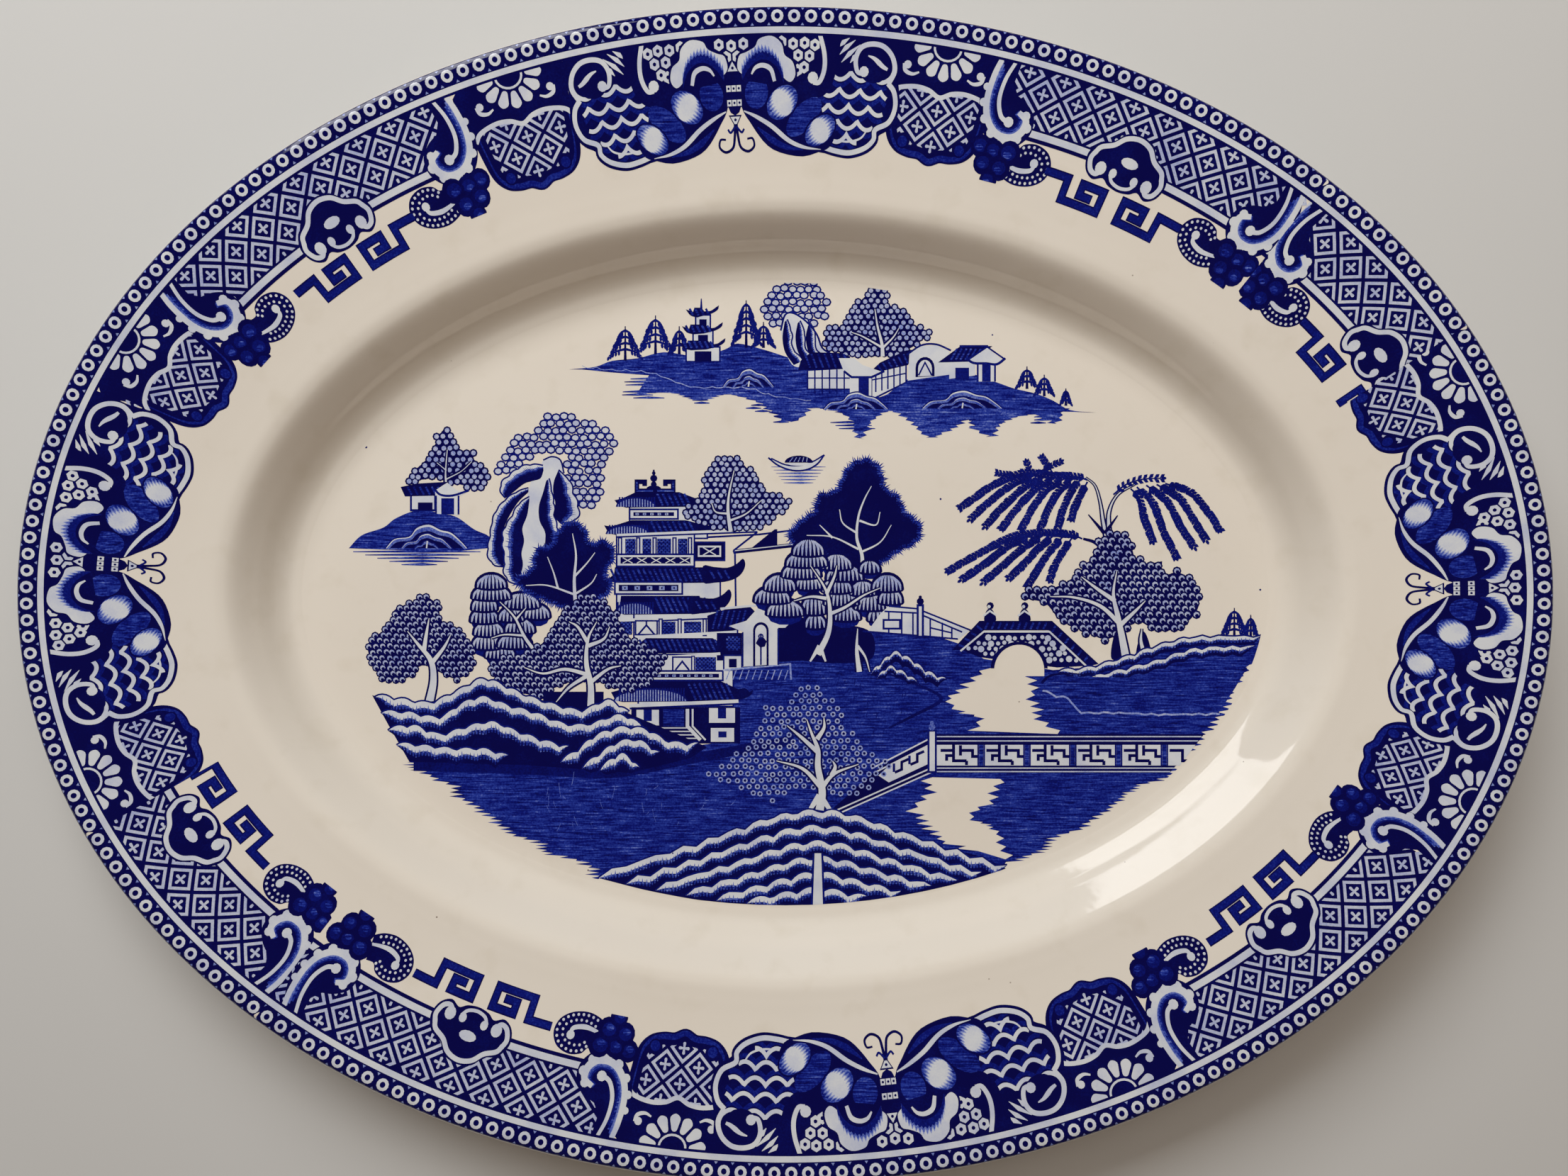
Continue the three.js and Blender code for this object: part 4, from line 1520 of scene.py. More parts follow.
def left_scale_trees(pen):
    """The two trees of lapping scales over the layered rocks."""
    crown = [
        (-97, -12), (-94.6, -9), (-92, -7.6), (-91, -3.6), (-87, -1.6), (-83.4, 0), (-80, -2.4),
        (-79, -6), (-75, -8), (-72.6, -12), (-72, -17), (-76, -20), (-80, -18.6), (-84, -17),
        (-88, -19.8), (-93, -19.8), (-96, -16),
    ]
    foliage(pen, crown, 1.55, "scales")
    trunk = [(-82.4, -25.4), (-81.4, -20), (-82, -15.4), (-85, -11.6), (-87.4, -8.6)]
    branches(
        pen,
        [trunk, [(-81.8, -16), (-79, -12.4), (-77.4, -9.4)], [(-83.6, -13), (-83, -9), (-82.4, -5.6)]],
        1.9,
    )
    crown = [
        (-69, -17), (-66, -14.4), (-61, -14), (-57, -11.6), (-54, -7), (-51, -3), (-45.4, 0), (-41, -2),
        (-38, -6), (-35.6, -10), (-30.4, -13), (-27.6, -15), (-31, -20.6), (-37, -22.6), (-42, -21),
        (-46, -20), (-50, -20.6), (-55, -23), (-59, -23.8), (-65, -21.6),
    ]
    foliage(pen, crown, 1.55, "scales")
    trunk = [(-45, -27), (-45, -21), (-46, -16), (-45.6, -10.4), (-43.6, -6.4)]
    arms = [
        [(-45.8, -11), (-48, -7.6), (-50, -6.4)],
        [(-45.8, -18.6), (-51, -17.4), (-56, -18.4), (-60.4, -17)],
        [(-45, -20.4), (-41, -17.4), (-38, -16.6)], [(-45.6, -12), (-42, -10.4), (-40.6, -7.6)],
        [(-46, -19), (-50, -21.6), (-53, -25)],
    ]
    pen.fill(box(-56, -27, -42, -22.6))
    branches(pen, [trunk] + arms, 1.7)


def left_bank(pen):
    """The layered rocks at the left."""
    bank = [
        (-95.6, -23.4), (-88, -25.6), (-80, -24.6), (-70, -20.2), (-62, -22.8), (-50, -26.4),
        (-41, -25.4), (-35.4, -28), (-26, -32), (-18, -35.4),
    ]
    pen.fill(np.vstack([bank, [(-22, -38), (-36, -41.4), (-60, -39.6), (-87, -38.8), (-92, -30)]]))
    crests = [
        [
            (-95, -23.8), (-88, -25), (-82, -25.6), (-76, -23), (-70, -20.2), (-65, -21.8), (-60, -24),
            (-54, -26), (-47, -27.4), (-41, -25.2), (-36, -28),
        ],
        [
            (-93.6, -27.6), (-87, -28), (-80, -29), (-75, -26), (-70, -24.4), (-64, -26.4), (-58, -28),
            (-51, -30.6), (-45, -30.6), (-38, -28.6), (-32, -31.6),
        ],
        [
            (-92, -31.6), (-86, -31), (-80, -33), (-74, -31.4), (-68, -30.2), (-62, -32.4), (-56, -34.4),
            (-50, -36),
        ],
        [(-90, -35), (-84, -35.6), (-76, -36.4), (-70, -36.4), (-64, -38)],
        [(-52, -39), (-48, -36.6), (-44, -33.4), (-38, -31.4), (-32, -32), (-27, -34.6), (-20, -35.2)],
        [(-47, -40.4), (-43, -37.6), (-39, -35), (-34, -34.4), (-29, -37.4)],
        [(-43, -41), (-40, -38.6), (-37.6, -37.6), (-35, -39.4), (-33.6, -41)],
    ]
    for crest in crests:
        ridge(pen, crest)


def east_dark_tree(pen):
    """The dark tree at the right of the house."""
    outline = [
        (1, 13), (4, 17), (7, 19), (8, 22.6), (12, 24), (14.6, 29), (18.4, 31), (21.6, 29.2), (23, 24.4),
        (26, 22.4), (27.6, 19), (31, 16),
    ]
    veins = [
        [(17.8, 5), (17.8, 9), (16.6, 13), (17, 18), (18.4, 22), (20, 25)],
        [(17.4, 9.6), (22, 12), (24.6, 16)], [(17, 10.4), (11, 13.2), (5, 13.6)],
        [(16.8, 14), (13.4, 16.4), (12.6, 19.6)], [(11, 13), (8, 16)], [(17.2, 17), (21, 16), (22, 19)],
    ]
    dark_tree(pen, outline + [(30.4, 12.4), (26, 10), (22, 7.2), (18, 5.6), (12, 8), (6, 10.4)], veins, 1)


def east_dome_tree(pen):
    """The weeping tree in front of the dark one."""
    dome = [
        (5.4, 9.2, 7.4, 2.8), (5, 6.6, 9.6, 2.8), (12, 6, 7, 2.6), (19.6, 5.2, 5, 2), (3.8, 4, 9, 2.8),
        (13.8, 3.4, 8.6, 2.8), (23.6, 1, 7, 2.8), (-1.2, 1, 7.4, 2.8), (5.4, 1.4, 6, 2.5),
        (12, 0.6, 7, 2.6), (18, 0, 6, 2.4), (-3, -1.8, 8.4, 2.8), (24.4, -2, 5.6, 2.6),
        (13, -2.4, 8, 2.8), (0, -4.8, 8.6, 2.8), (6.6, -4.4, 5.6, 3.6), (20, -3.4, 8, 2.6),
        (7, -7.6, 5, 2.4), (14, -5.8, 7, 2.4), (21, -6, 4, 2),
    ]
    domes(pen, dome)
    trunk = [(7.6, -14), (10, -9), (10.4, -4), (9.4, 1), (6, 6.4)]
    branches(
        pen,
        [
            trunk, [(10.4, -4.6), (14, -3), (18, -0.4), (22, 1.4)], [(9.6, 0), (11.4, 4), (12, 6.6)],
            [(9.6, -1), (6, -0.6), (2, -1.6)],
        ],
        1.5,
    )
    branches(
        pen, [[(17.2, -18), (16.6, -13), (16.8, -8)], [(16.8, -12), (18.6, -14.6), (19.6, -18)]], 1.3
    )
    for x in (5.8, 9.4):
        pen.bend([(8, -12), (x, -15.6)], (1.2, 0.5), BARE)


def low_fence(pen):
    """The low fence that leads to the bridge."""
    posts = [(24, -2.8), (30.6, -3.2), (43, -8.2), (40, -10.6), (30.6, -9.8), (19, -8.8), (22, -4.6)]
    pen.fill(posts, BARE)
    for path in (
        [(24, -2.8), (30.6, -3.4), (43, -8.4)], [(23, -4), (30.6, -4.4), (41, -8.8)],
        [(18, -8.6), (30.6, -9.6), (40, -10.4)],
    ):
        pen.line(path, 0.32)
    for x, foot, top in (
        (24, -9, -4), (27, -9.2, -4), (29.6, -9.6, -4.2), (33.6, -9.8, -5.6), (36.4, -10, -6.6),
        (38.6, -10.2, -7.8),
    ):
        pen.line([(x, foot), (x, top)], 0.3, STRONG)
    wall(pen, 22.8, -8, 26.6, -6, BARE, 0.4)
    pen.line([(33.6, -7.8), (38.6, -9)], 0.3, STRONG)
    wall(pen, 30.7, -9.9, 31.9, -2.6, BARE, 0.45)
    pen.dot(31.3, -1.7, 0.85, SOLID, 9)
    pen.dot(31.3, -0.7, 0.4, SOLID, 7)


def willow(pen):
    """The great willow, whose twigs hang in three sheaves."""
    for path in (
        [(74.4, 13), (73.6, 17), (73, 21), (71.8, 25), (69.6, 27)],
        [(75, 14), (75, 19), (77, 23), (81, 25.4)],
    ):
        pen.bend(path, (1.5, 0.9, 0.5))
        pen.bend(path, (0.9, 0.4, 0.15), BARE)
    for tip in ((70.2, 18.4), (77, 18.2)):
        pen.bend([(74, 14), tip], (0.9, 0.2))
    pen.bend([(74, 10), (71.6, 12), (69, 12.8)], (0.9, 0.5))
    hanging = [
        [(70, 26.4), (67.4, 27.2), (62, 27.4), (55, 28), (48, 25), (41, 20.3)],
        [(58, 27.6), (53, 25.6), (47.6, 21.6), (43, 17.5)],
        [(60.4, 27.2), (55.4, 24.6), (50.6, 20.4), (46.4, 15.8)],
        [(62.6, 27), (58, 24.2), (54, 20.2), (50.4, 15.6)],
        [(64.8, 26.8), (60.6, 24.2), (57.4, 20), (55, 15.5)],
        [(66.8, 26.8), (63.4, 23.8), (61, 19.6), (59.2, 15.5)],
        [(68.6, 26.8), (66.2, 23.6), (64.4, 19.6), (63.2, 15.4)],
        [(70, 26), (68.6, 23.4), (67.2, 20.4), (66.4, 17.8)],
        [(68.8, 12.8), (66, 13.8), (60, 14.2), (53, 13.4), (46, 10), (38, 5.5)],
        [(57, 13.6), (51.6, 11), (46.6, 7.2), (41, 3.4)],
        [(59.8, 13.6), (55, 10.6), (50.4, 6.6), (46, 2.8)],
        [(62.2, 13.6), (58.4, 10.2), (55, 6.6), (52, 3.8)],
        [(64.4, 13.4), (61.2, 9.8), (58.6, 5.8), (56.4, 2.2)],
        [(66.4, 13), (64.2, 9.6), (62.4, 6.4), (61.4, 3.6)],
        [(80, 24.4), (82, 22.2), (83.2, 17.6), (85, 12.5)],
        [(81.4, 24.8), (85, 21.2), (87.6, 14.6), (90.4, 8.8)],
        [(83.6, 25.2), (88.4, 21.4), (91.6, 15.6), (94.6, 11)],
        [(86, 25.4), (91.4, 22), (94.8, 16.8), (97.4, 12.6)],
        [(88, 25.6), (94, 23.4), (98, 18.8), (100.4, 15.2)],
    ]
    for path in hanging:
        frond(pen, path)
    for path in (
        [(62, 28), (59.6, 31.4)], [(59, 28.4), (63.6, 30.6)], [(57, 28), (56, 30.4)],
        [(53.6, 27.4), (49.6, 28)],
    ):
        frond(pen, path, 1.3, 0.8)
    frond(pen, [(76, 23), (79, 25.4), (83, 26.6), (87, 26.8)], 1.5, 1.3)


def bridge(pen):
    """The arched bridge, with two plain figures on it."""
    deck = [
        (38.6, -13), (45, -6.2), (61.8, -6.2), (72.6, -16.2), (70.4, -16.6), (61, -8.4), (46, -8.4),
        (41, -13),
    ]
    stonework = [(41, -13), (46, -8.6), (61.2, -8.6), (70.4, -16.6), (63, -17), (45, -14.6)]
    pen.fill(stonework)
    stones = packed(
        np.array([(42.4, -12.6), (46.4, -9.4), (61, -9.4), (68.6, -16), (61, -16), (45, -14)], float),
        1.55,
    )
    for i, (x, y) in enumerate(stones):
        pen.dot(x, y, 0.76 if i % 3 == 0 else 0.5, 0.08, 8)
    pen.fill(arc(54.2, -17.2, 6.6, 6.2, 0, 180, 20))
    pen.fill(np.vstack([arc(54.2, -17.6, 5.8, 5.9, 0, 180, 20), [(48.4, -19), (60, -19)]]), CLEAR)
    pen.fill(deck)
    for x in np.arange(47, 61, 1.5):
        pen.line([(x, -6.6), (x - 0.7, -8.1)], 0.4, HATCH)
    for i in range(6):
        pen.line([(62.6 + i * 1.5, -7.4 - i * 1.4), (61.8 + i * 1.5, -8.8 - i * 1.34)], 0.4, HATCH)
        if i < 4:
            pen.line([(40.2 + i * 1.4, -11.8 + i * 1.46), (41.4 + i * 1.4, -12.2 + i * 1.3)], 0.4, HATCH)
    pen.line([(40.6, -13.2), (46, -8.7), (61.2, -8.7), (70, -16.9)], 0.5, BARE)
    for x in (47.4, 55.4):
        person = pen.at(x, -6.3)
        person.blob([(-1.3, 0), (-0.9, 2.2), (0, 3), (0.9, 2.2), (1.5, 0.4), (0.6, -0.2)], SOLID, 3)
        person.line([(-1.5, 1.2), (0, 2.4), (1.5, 1.4)], 0.5, BARE)
        person.dot(0.1, 3.6, 0.85, SOLID, 8)
        person.dot(-0.2, 3.4, 0.4, BARE, 7)


def east_bank(pen):
    """The land at the right: its tree of scales, two firs, and the islet below."""
    for x, y, wide, high in ((104, -10.6, 6.6, 7.4), (107.8, -10.2, 3.6, 5.4)):
        fir(pen, x, y, wide, high)
    crown = [
        (54, 0), (58, 1.8), (62, 2), (66, 4), (70, 8), (73, 13), (77, 14.6), (80.4, 12), (81.4, 9),
        (84, 7.6), (87.6, 8), (87.8, 5), (91, 5.6), (95, 3), (96.4, -2), (94.4, -6), (90, -8.8),
        (85, -8.4), (81, -6.6), (78, -9), (74, -10.8), (68, -8.8), (63, -6), (60, -2.6), (56, -1.6),
    ]
    foliage(pen, crown, 1.75, "scales")
    for x, wide in ((76.6, 2), (83, 3)):
        pen.blob(
            [
                (x, -8.6), (x + wide / 2, -12), (x + wide / 2, -15), (x - wide / 2, -15),
                (x - wide / 2, -12),
            ],
            SOLID, 4,
        )
    trunk = [(79, -15.4), (78, -10), (77, -5), (76, 0), (76.8, 5.4)]
    arms = [
        [(77.6, -7), (73, -2.8), (67, -0.8), (61.4, -0.6)], [(76.4, -1.6), (72, 1.4), (68.6, 4)],
        [(77.8, -7), (81, -4), (83.4, -1.6)],
    ]
    branches(pen, [trunk] + arms + [[(83.4, -14.6), (82.4, -11), (82.6, -8)]], 1.9)
    bank = [
        (62, -17.6), (70, -17), (78, -15.2), (86, -13), (95, -10.8), (110.6, -10.4), (109, -16),
        (84, -22), (64, -22),
    ]
    pen.fill(bank, HATCH)
    ridge(
        pen, [(63, -18.2), (70, -17.6), (78, -15.4), (86, -12.6), (95, -10.6), (110.4, -10.4)], 1.5, 2.2
    )
    ridge(pen, [(70, -20), (78, -18), (86, -16), (95, -13.2), (109, -12.6)], 1.5, 2.2)
    islet = [
        (59.4, -20.8), (62, -19), (72, -19.2), (84, -19.4), (98, -17), (107, -17), (104, -22), (100, -28),
        (80, -27.8), (68, -27.4), (65, -24.8),
    ]
    pen.fill(islet, HATCH)
    pen.bend([(59.4, -20.6), (61.4, -18.9), (66, -18.4), (72, -19)], (0.6, 0.4, 0.1))
    edge = scalloped(
        [
            (59.6, -22.4), (62.4, -23.8), (65.6, -24.6), (68.6, -27.6), (76, -27.8), (88, -28.2),
            (100.6, -28),
        ],
        3.6, 0.45,
    )
    pen.line(edge, 0.5, PALE)


def water(pen):
    """The dark hatched lake and land, and the two clear gaps in it."""
    left = jagged([(-87, -38.6), (-80, -42), (-70, -49.6), (-60, -56), (-49, -62), (-42, -66.4)], -3.2)
    right = jagged(
        [(52, -62), (62, -57), (76, -47.6), (88, -41.4), (95, -33), (100, -27), (106, -17)], 2.6
    )
    shore = [
        (108, -16), (62, -17.6), (46, -15), (40.6, -11.6), (34, -9.4), (20, -8.6), (4, -6), (-8, -16),
        (-12, -18), (-12.4, -24),
    ]
    pen.fill(
        np.vstack(
            [
                left, [(-40, -68), (0, -70), (50, -64)], right, shore,
                [(-12.4, -34), (-20, -35), (-36, -39)],
            ]
        ),
        HATCH,
    )
    for reach in (0.4, 1.2):
        pen.bend(
            [
                (2, -33 - reach), (-20, -37 - reach), (-40, -40.6 - reach), (-60, -39.8 - reach),
                (-86, -39 - reach),
            ],
            1.4, STRONG + 0.1,
        )
    gaps = [
        ([(48.4, -15.4), (44, -21), (39, -26), (44, -29), (44, -32.4)], -2.8),
        ([(62, -32.4), (60, -29), (56, -24), (58, -20), (60, -15.6)], 2.8),
        ([(34, -42.4), (32, -46), (30, -50), (34, -54), (42, -59.6)], -3.4),
        ([(52, -61.4), (50, -55), (43, -52), (46, -48), (50, -42)], 2.6),
    ]
    for sides in (gaps[:2], gaps[2:]):
        pen.fill(np.vstack([jagged(path, reach, 1) for path, reach in sides]), CLEAR)
    for x, y in random.uniform((-56, -58), (-12, -42), (26, 2)):
        lean, length = random.uniform(-0.5, 0.7), random.uniform(0.6, 3.2)
        pen.line([(x, y), (x + lean, y + length / 2), (x + lean * 1.6, y + length)], 0.09, SOFT)


def meadow(pen):
    """The grass behind the front tree, and two small rocks."""
    dark = STRONG + 0.12
    pen.bend([(20, -17), (33, -22), (36, -24.6), (30, -28), (24, -31)], (0.3, 0.8, 0.4), dark)
    for i in range(60):
        x, y = random.uniform((-6, -34), (30, -17))
        pen.line([(x, y), (x + 0.25, y + random.uniform(0.6, 1.5))], 0.14, dark)
    ridge(
        pen, [(19.6, -19), (22, -16.6), (25.4, -14), (29, -15.6), (33, -18.4), (37.6, -20.4)], 1.4, 2.6,
        3.2,
    )
    ridge(pen, [(21, -20), (24, -17.4), (27, -18.4), (31, -21)], 1.2, 1.8, 3)


def front_fence(pen):
    """The long rail, its post, and the return that slants towards the viewer."""
    ends = [(34, -32.4), (97, -32.4), (95, -35), (92, -38), (89, -41.4), (34, -41.4)]
    pen.fill(ends)
    pen.fill([(34, -34.9), (95, -34.9), (91.4, -39.7), (34, -39.7)], BARE)
    for y, end in ((-33, 96.4), (-34, 95.6), (-40.3, 90.2), (-41.1, 89.2)):
        pen.line([(34.6, y), (end, y)], 0.36, 0.1)
    bay = 10.6
    for i in range(6):
        x = 36 + i * bay
        frets = [
            [(x, -36.2), (x + 3, -36.2), (x + 3, -38.6), (x + 6, -38.6)],
            [(x + 1.4, -38.6), (x + 1.4, -37.4), (x + 3, -37.4)],
            [(x + 3, -34.9), (x + 3, -36.2)],
            [(x + 4.6, -36.2), (x + 7.4, -36.2), (x + 7.4, -37.6), (x + 8.6, -37.6)],
            [(x + 4.6, -37.4), (x + 4.6, -35)],
            [(x + 6, -39.6), (x + 6, -38.6)],
        ]
        for path in frets if i < 5 else frets[:1]:
            pen.line(path, 0.62)
        if i < 5:
            pen.fill(box(x + 8.9, -39.7, x + 9.9, -34.9), HATCH)
            pen.line([(x + 8.7, -39.7), (x + 8.7, -34.9)], 0.3)
            pen.line([(x + 10.1, -39.7), (x + 10.1, -34.9)], 0.3)
    slant = [(34, -33), (34, -41.4), (11, -51.4), (10, -50.6), (22, -40)]
    pen.fill(slant)
    pen.fill([(33, -35.2), (33, -39.4), (24, -43.6), (21.6, -42), (24, -39.8)], BARE)
    for top, foot in (
        ((34, -33.2), (20, -40.4)), ((34, -34.6), (21, -41.2)), ((34, -40.2), (11.6, -50.2)),
        ((34, -41.2), (12, -51)),
    ):
        pen.line([top, foot], 0.42, BARE)
    for x, y in ((30.6, -38), (27, -39.8)):
        pen.line([(x + 1.6, y + 1.6), (x, y + 0.9), (x, y - 0.8), (x - 1.6, y - 1.5)], 0.55)
        pen.line([(x - 1.8, y + 0.6), (x - 1.8, y - 1.4)], 0.5)
    wall(pen, 33.2, -41.2, 34.9, -31.6, BARE, 0.4)
    pen.dot(34, -30.8, 0.8, SOFT, 9)
    pen.dot(34, -29.8, 0.45, SOFT, 8)


def front_tree(pen):
    """The tree of berries in front."""
    crown = [
        (-18.6, -42), (-15, -40), (-11.4, -36.6), (-7.4, -33), (-5.6, -28), (-4, -25), (-0.4, -26.4),
        (2.4, -22.4), (6, -21), (10, -23.4), (13, -26.6), (13.6, -30.6), (17, -33), (20, -36.6),
        (24.4, -39), (20.6, -44), (14, -47.4), (8, -45.4), (2, -45.6), (-3, -48), (-8, -46), (-13, -44),
    ]
    foliage(pen, crown, 1.85, "berries")
    trunk = [(8, -50), (8.6, -45.6), (7.6, -40), (7.6, -36), (6.2, -32.4), (5, -29)]
    arms = [
        [(7.6, -36.6), (3.6, -33), (0.4, -30.4)], [(7.4, -33.6), (9, -31), (9, -28.6)],
        [(8.2, -44.6), (4, -40.4), (-2, -38.6)], [(8.4, -45), (11.4, -41.6), (17, -39.4)],
        [(10.8, -42), (11.6, -40), (11, -38.6)],
    ]
    branches(pen, [trunk] + arms, 2)
    for x in (4.8, 11.4):
        pen.bend([(8, -46.6), (x + (8 - x) * 0.4, -49.4), (x, -51.4)], (1.6, 0.5), BARE)


def foreground(pen):
    """The layered mound in front, which meets in a bare upright."""
    foot = [(-43, -65.8), (-30, -69), (-14, -71.6), (4, -72.4), (22, -71.2), (38, -68), (51.6, -63.8)]
    top = [
        (51.6, -63.8), (44, -60.4), (32, -58), (20, -54.6), (8, -50.6), (-2, -51.6), (-14, -56),
        (-26, -60), (-36, -62.6), (-43, -65.6),
    ]
    pen.fill(np.vstack([curve(foot), curve(top)]))
    lows = [(-43.4, -65.8), (-37, -67.2), (-30, -68.6), (-23, -69.8), (-16, -71), (-9, -71.7)]
    rights = [(51.4, -64), (45.6, -65.4), (40, -66.8), (34, -68.3), (27, -69.8), (19, -70.9)]
    middle = 7.6
    shares = ((1, 1), (0.5, 0.45), (0.2, 0.1))
    for i in range(6):
        y = -51 - i * 3.6
        left, right = (
            [(middle + (x - middle) * out, y - (y - low) * down) for out, down in shares]
            for x, low in (lows[i], rights[i])
        )
        ridge(pen, left + [(middle, y)] + right[::-1], 2.4, 3.3, 6, 1.3)
    limits = np.vstack([curve(foot), [(60, -74), (0, -84), (-52, -74)]])
    pen.fill(limits, CLEAR)
    pen.fill([(6.7, -60), (8.5, -60), (8.8, -72.3), (6.4, -72.3)], BARE)
    pen.line([(6.6, -60), (6.2, -72.2)], 0.4)
    pen.line([(8.6, -60), (9, -72.2)], 0.4)


def draw_scene():
    """All the outlines of the centre scene, from the back to the front."""
    shapes = []
    pen = Pen(shapes)
    far_parts = (far_island, far_tower, far_crag, far_tree, far_houses, far_gates, west_islet, boat)
    house_parts = (great_house, top_storeys, middle_storeys, lower_storeys, ground_floor, porch)
    left_parts = (left_dome_tree, left_dark_tree, left_scale_trees, left_bank)
    for part in (*far_parts, crag, water, meadow, gate_and_garden, *house_parts, *left_parts):
        part(pen)
    beads = [
        (-23, 18.4), (-22, 21), (-19.4, 23), (-19, 26.4), (-17.6, 29.4), (-14.6, 31.8), (-11, 31.6),
        (-8, 29), (-5.8, 27), (-5, 24.4), (-2, 23.6), (1, 21.6), (0.6, 19.6), (-3, 17), (-7, 15),
        (-11, 14.8), (-15, 14.8), (-19, 16),
    ]
    foliage(pen, beads, 1.5, "beads")
    branches(
        pen,
        [
            [(-12.6, 14.6), (-13.2, 19), (-13, 23), (-11.8, 28.6)],
            [(-12.8, 17), (-9, 18.6), (-5.6, 21.6)], [(-13, 18.6), (-16, 19), (-17, 21)],
        ],
        1,
    )
    east_parts = (east_dark_tree, east_dome_tree, low_fence, willow, bridge, east_bank)
    for part in (*east_parts, front_fence, front_tree, foreground):
        part(pen)
    for x, y, r in (
        (-97, 34, 0.3), (36, 22, 0.25), (-57.6, -66.4, 0.25), (-26, -60, 0.2), (110, 1, 0.25),
        (48, 60, 0.2),
    ):
        pen.dot(x, y, r, STRONG, 6)
    return shapes


def make_centre():
    """The centre tissue, laid on the floor of the well."""
    edge, normal = oval(np.linspace(0, 2 * math.pi, 120, endpoint=False))
    limit = (edge - normal * (FLOOR_EDGE + FLOOR_MARGIN)) / SCENE_UNIT
    grid = [(x, y) for x in np.arange(-110, 111, 8) for y in np.arange(-72, 73, 8)]
    grid = np.array(grid, float)
    grid = grid[inside(grid, limit)]
    return cut_film(
        "centre_tissue", draw_scene(), limit[::-1], grid, lay_on_floor, 40, "centre_scene_print"
    )


# ---------------------------------------------------------------- materials
class Nodes:
    """A material, with short names for the shader nodes that it is made of."""

    def __init__(self, name):
        self.material = bpy.data.materials.new(name)
        self.material.use_nodes = True
        self.tree = self.material.node_tree
        self.shader = self.tree.nodes["Principled BSDF"]
        self.place = self.add("ShaderNodeTexCoord").outputs["Object"]

    def add(self, kind, inputs=None, **settings):
        """A new node with its settings and inputs."""
        node = self.tree.nodes.new(kind)
        for key, value in settings.items():
            setattr(node, key, value)
        for key, value in (inputs or {}).items():
            self.set(node.inputs[key], value)
        return node

    def set(self, socket, value):
        """Links a socket to another one, or gives it a plain value."""
        if isinstance(value, bpy.types.NodeSocket):
            self.tree.links.new(value, socket)
        else:
            socket.default_value = value

    def noise(self, size, detail=2, stretch=(1, 1, 1), roughness=0.5):
        """Noise whose features are about size millimetres across, from 0 to 1."""
        vector = self.add("ShaderNodeMapping", {"Vector": self.place, "Scale": stretch}).outputs[0]
        values = {"Vector": vector, "Scale": 1 / (size * MM), "Detail": detail, "Roughness": roughness}
        return self.add("ShaderNodeTexNoise", values).outputs["Fac"]

    def cells(self, size):
        """Scattered cells about size millimetres across."""
        return self.add("ShaderNodeTexVoronoi", {"Vector": self.place, "Scale": 1 / (size * MM)})

    def math(self, operation, a, b=0.0, c=0.0):
        """A sum of up to three numbers or sockets."""
        return self.add("ShaderNodeMath", {0: a, 1: b, 2: c}, operation=operation).outputs[0]

    def span(self, value, low, high, to_low=0.0, to_high=1.0):
        """A value carried from one range to another, and held inside it."""
        inputs = {"Value": value, 1: low, 2: high, 3: to_low, 4: to_high}
        return self.add("ShaderNodeMapRange", inputs).outputs[0]

    def mix(self, share, a, b):
        """A colour between a and b."""
        node = self.add("ShaderNodeMix", data_type="RGBA")
        for index, value in ((0, share), (6, a), (7, b)):
            self.set(node.inputs[index], value)
        return node.outputs[2]

    def ramp(self, value, stops):
        """The colour that a value has along a row of (place, colour) stops."""
        node = self.add("ShaderNodeValToRGB", {"Fac": value})
        elements = node.color_ramp.elements
        elements[0].color, elements[-1].color = stops[0][1], stops[-1][1]
        for place, tone in stops[1:-1]:
            elements.new(place).color = tone
        return node.outputs[0]

    def finish(self, **sockets):
        """Sets the shader's own sockets, named with _ for a space, and gives the material."""
        for key, value in sockets.items():
            self.set(self.shader.inputs[key.replace("_", " ")], value)
        return self.material


def colour(red, green, blue):
    """A linear colour from the usual 0 to 255 screen values."""
    values = [v / 255 for v in (red, green, blue)]
    return (*(v / 12.92 if v <= 0.04045 else ((v + 0.055) / 1.055) ** 2.4 for v in values), 1)


def specks(nodes, spacing, edge, channel, rarity):
    """Small soft dots, in the few cells whose random colour is bright enough in one channel."""
    cell = nodes.cells(spacing)
    dot = nodes.span(cell.outputs["Distance"], *edge, 1, 0)
    chance = nodes.add("ShaderNodeSeparateColor", {"Color": cell.outputs["Color"]}).outputs[channel]
    return nodes.math("MULTIPLY", dot, nodes.math("GREATER_THAN", chance, rarity))


def glazed_cream(nodes):
    """The colour of clear glaze over cream clay: warm clouds, iron specks and a few blue ones."""
    cream = nodes.mix(nodes.noise(60, 3), colour(229, 219, 205), colour(234, 226, 214))
    cream = nodes.mix(nodes.span(nodes.noise(9, 4), 0.55, 0.8, 0, 0.35), cream, colour(214, 203, 184))
    cream = nodes.mix(specks(nodes, 5.5, (0.02, 0.055), "Red", 0.93), cream, colour(120, 100, 82))
    return nodes.mix(specks(nodes, 13, (0.012, 0.035), "Green", 0.9), cream, colour(58, 66, 120))


def glaze_surface(nodes, base):
    """The gloss of the glaze, with its slow ripple and fine pits."""
    ripple = nodes.noise(22, 1)
    fine = nodes.noise(3.5, 2)
    level = nodes.math("MULTIPLY_ADD", fine, 0.12, ripple)
    bump = nodes.add("ShaderNodeBump", {"Strength": 0.35, "Distance": 0.0005, "Height": level}).outputs[0]
    worn = nodes.span(nodes.noise(14, 5), 0.45, 0.75, 0.05, 0.11)
    return nodes.finish(
        Base_Color=base, Roughness=worn, Normal=bump, IOR=1.52, Coat_Weight=0.35, Coat_Roughness=0.04
    )


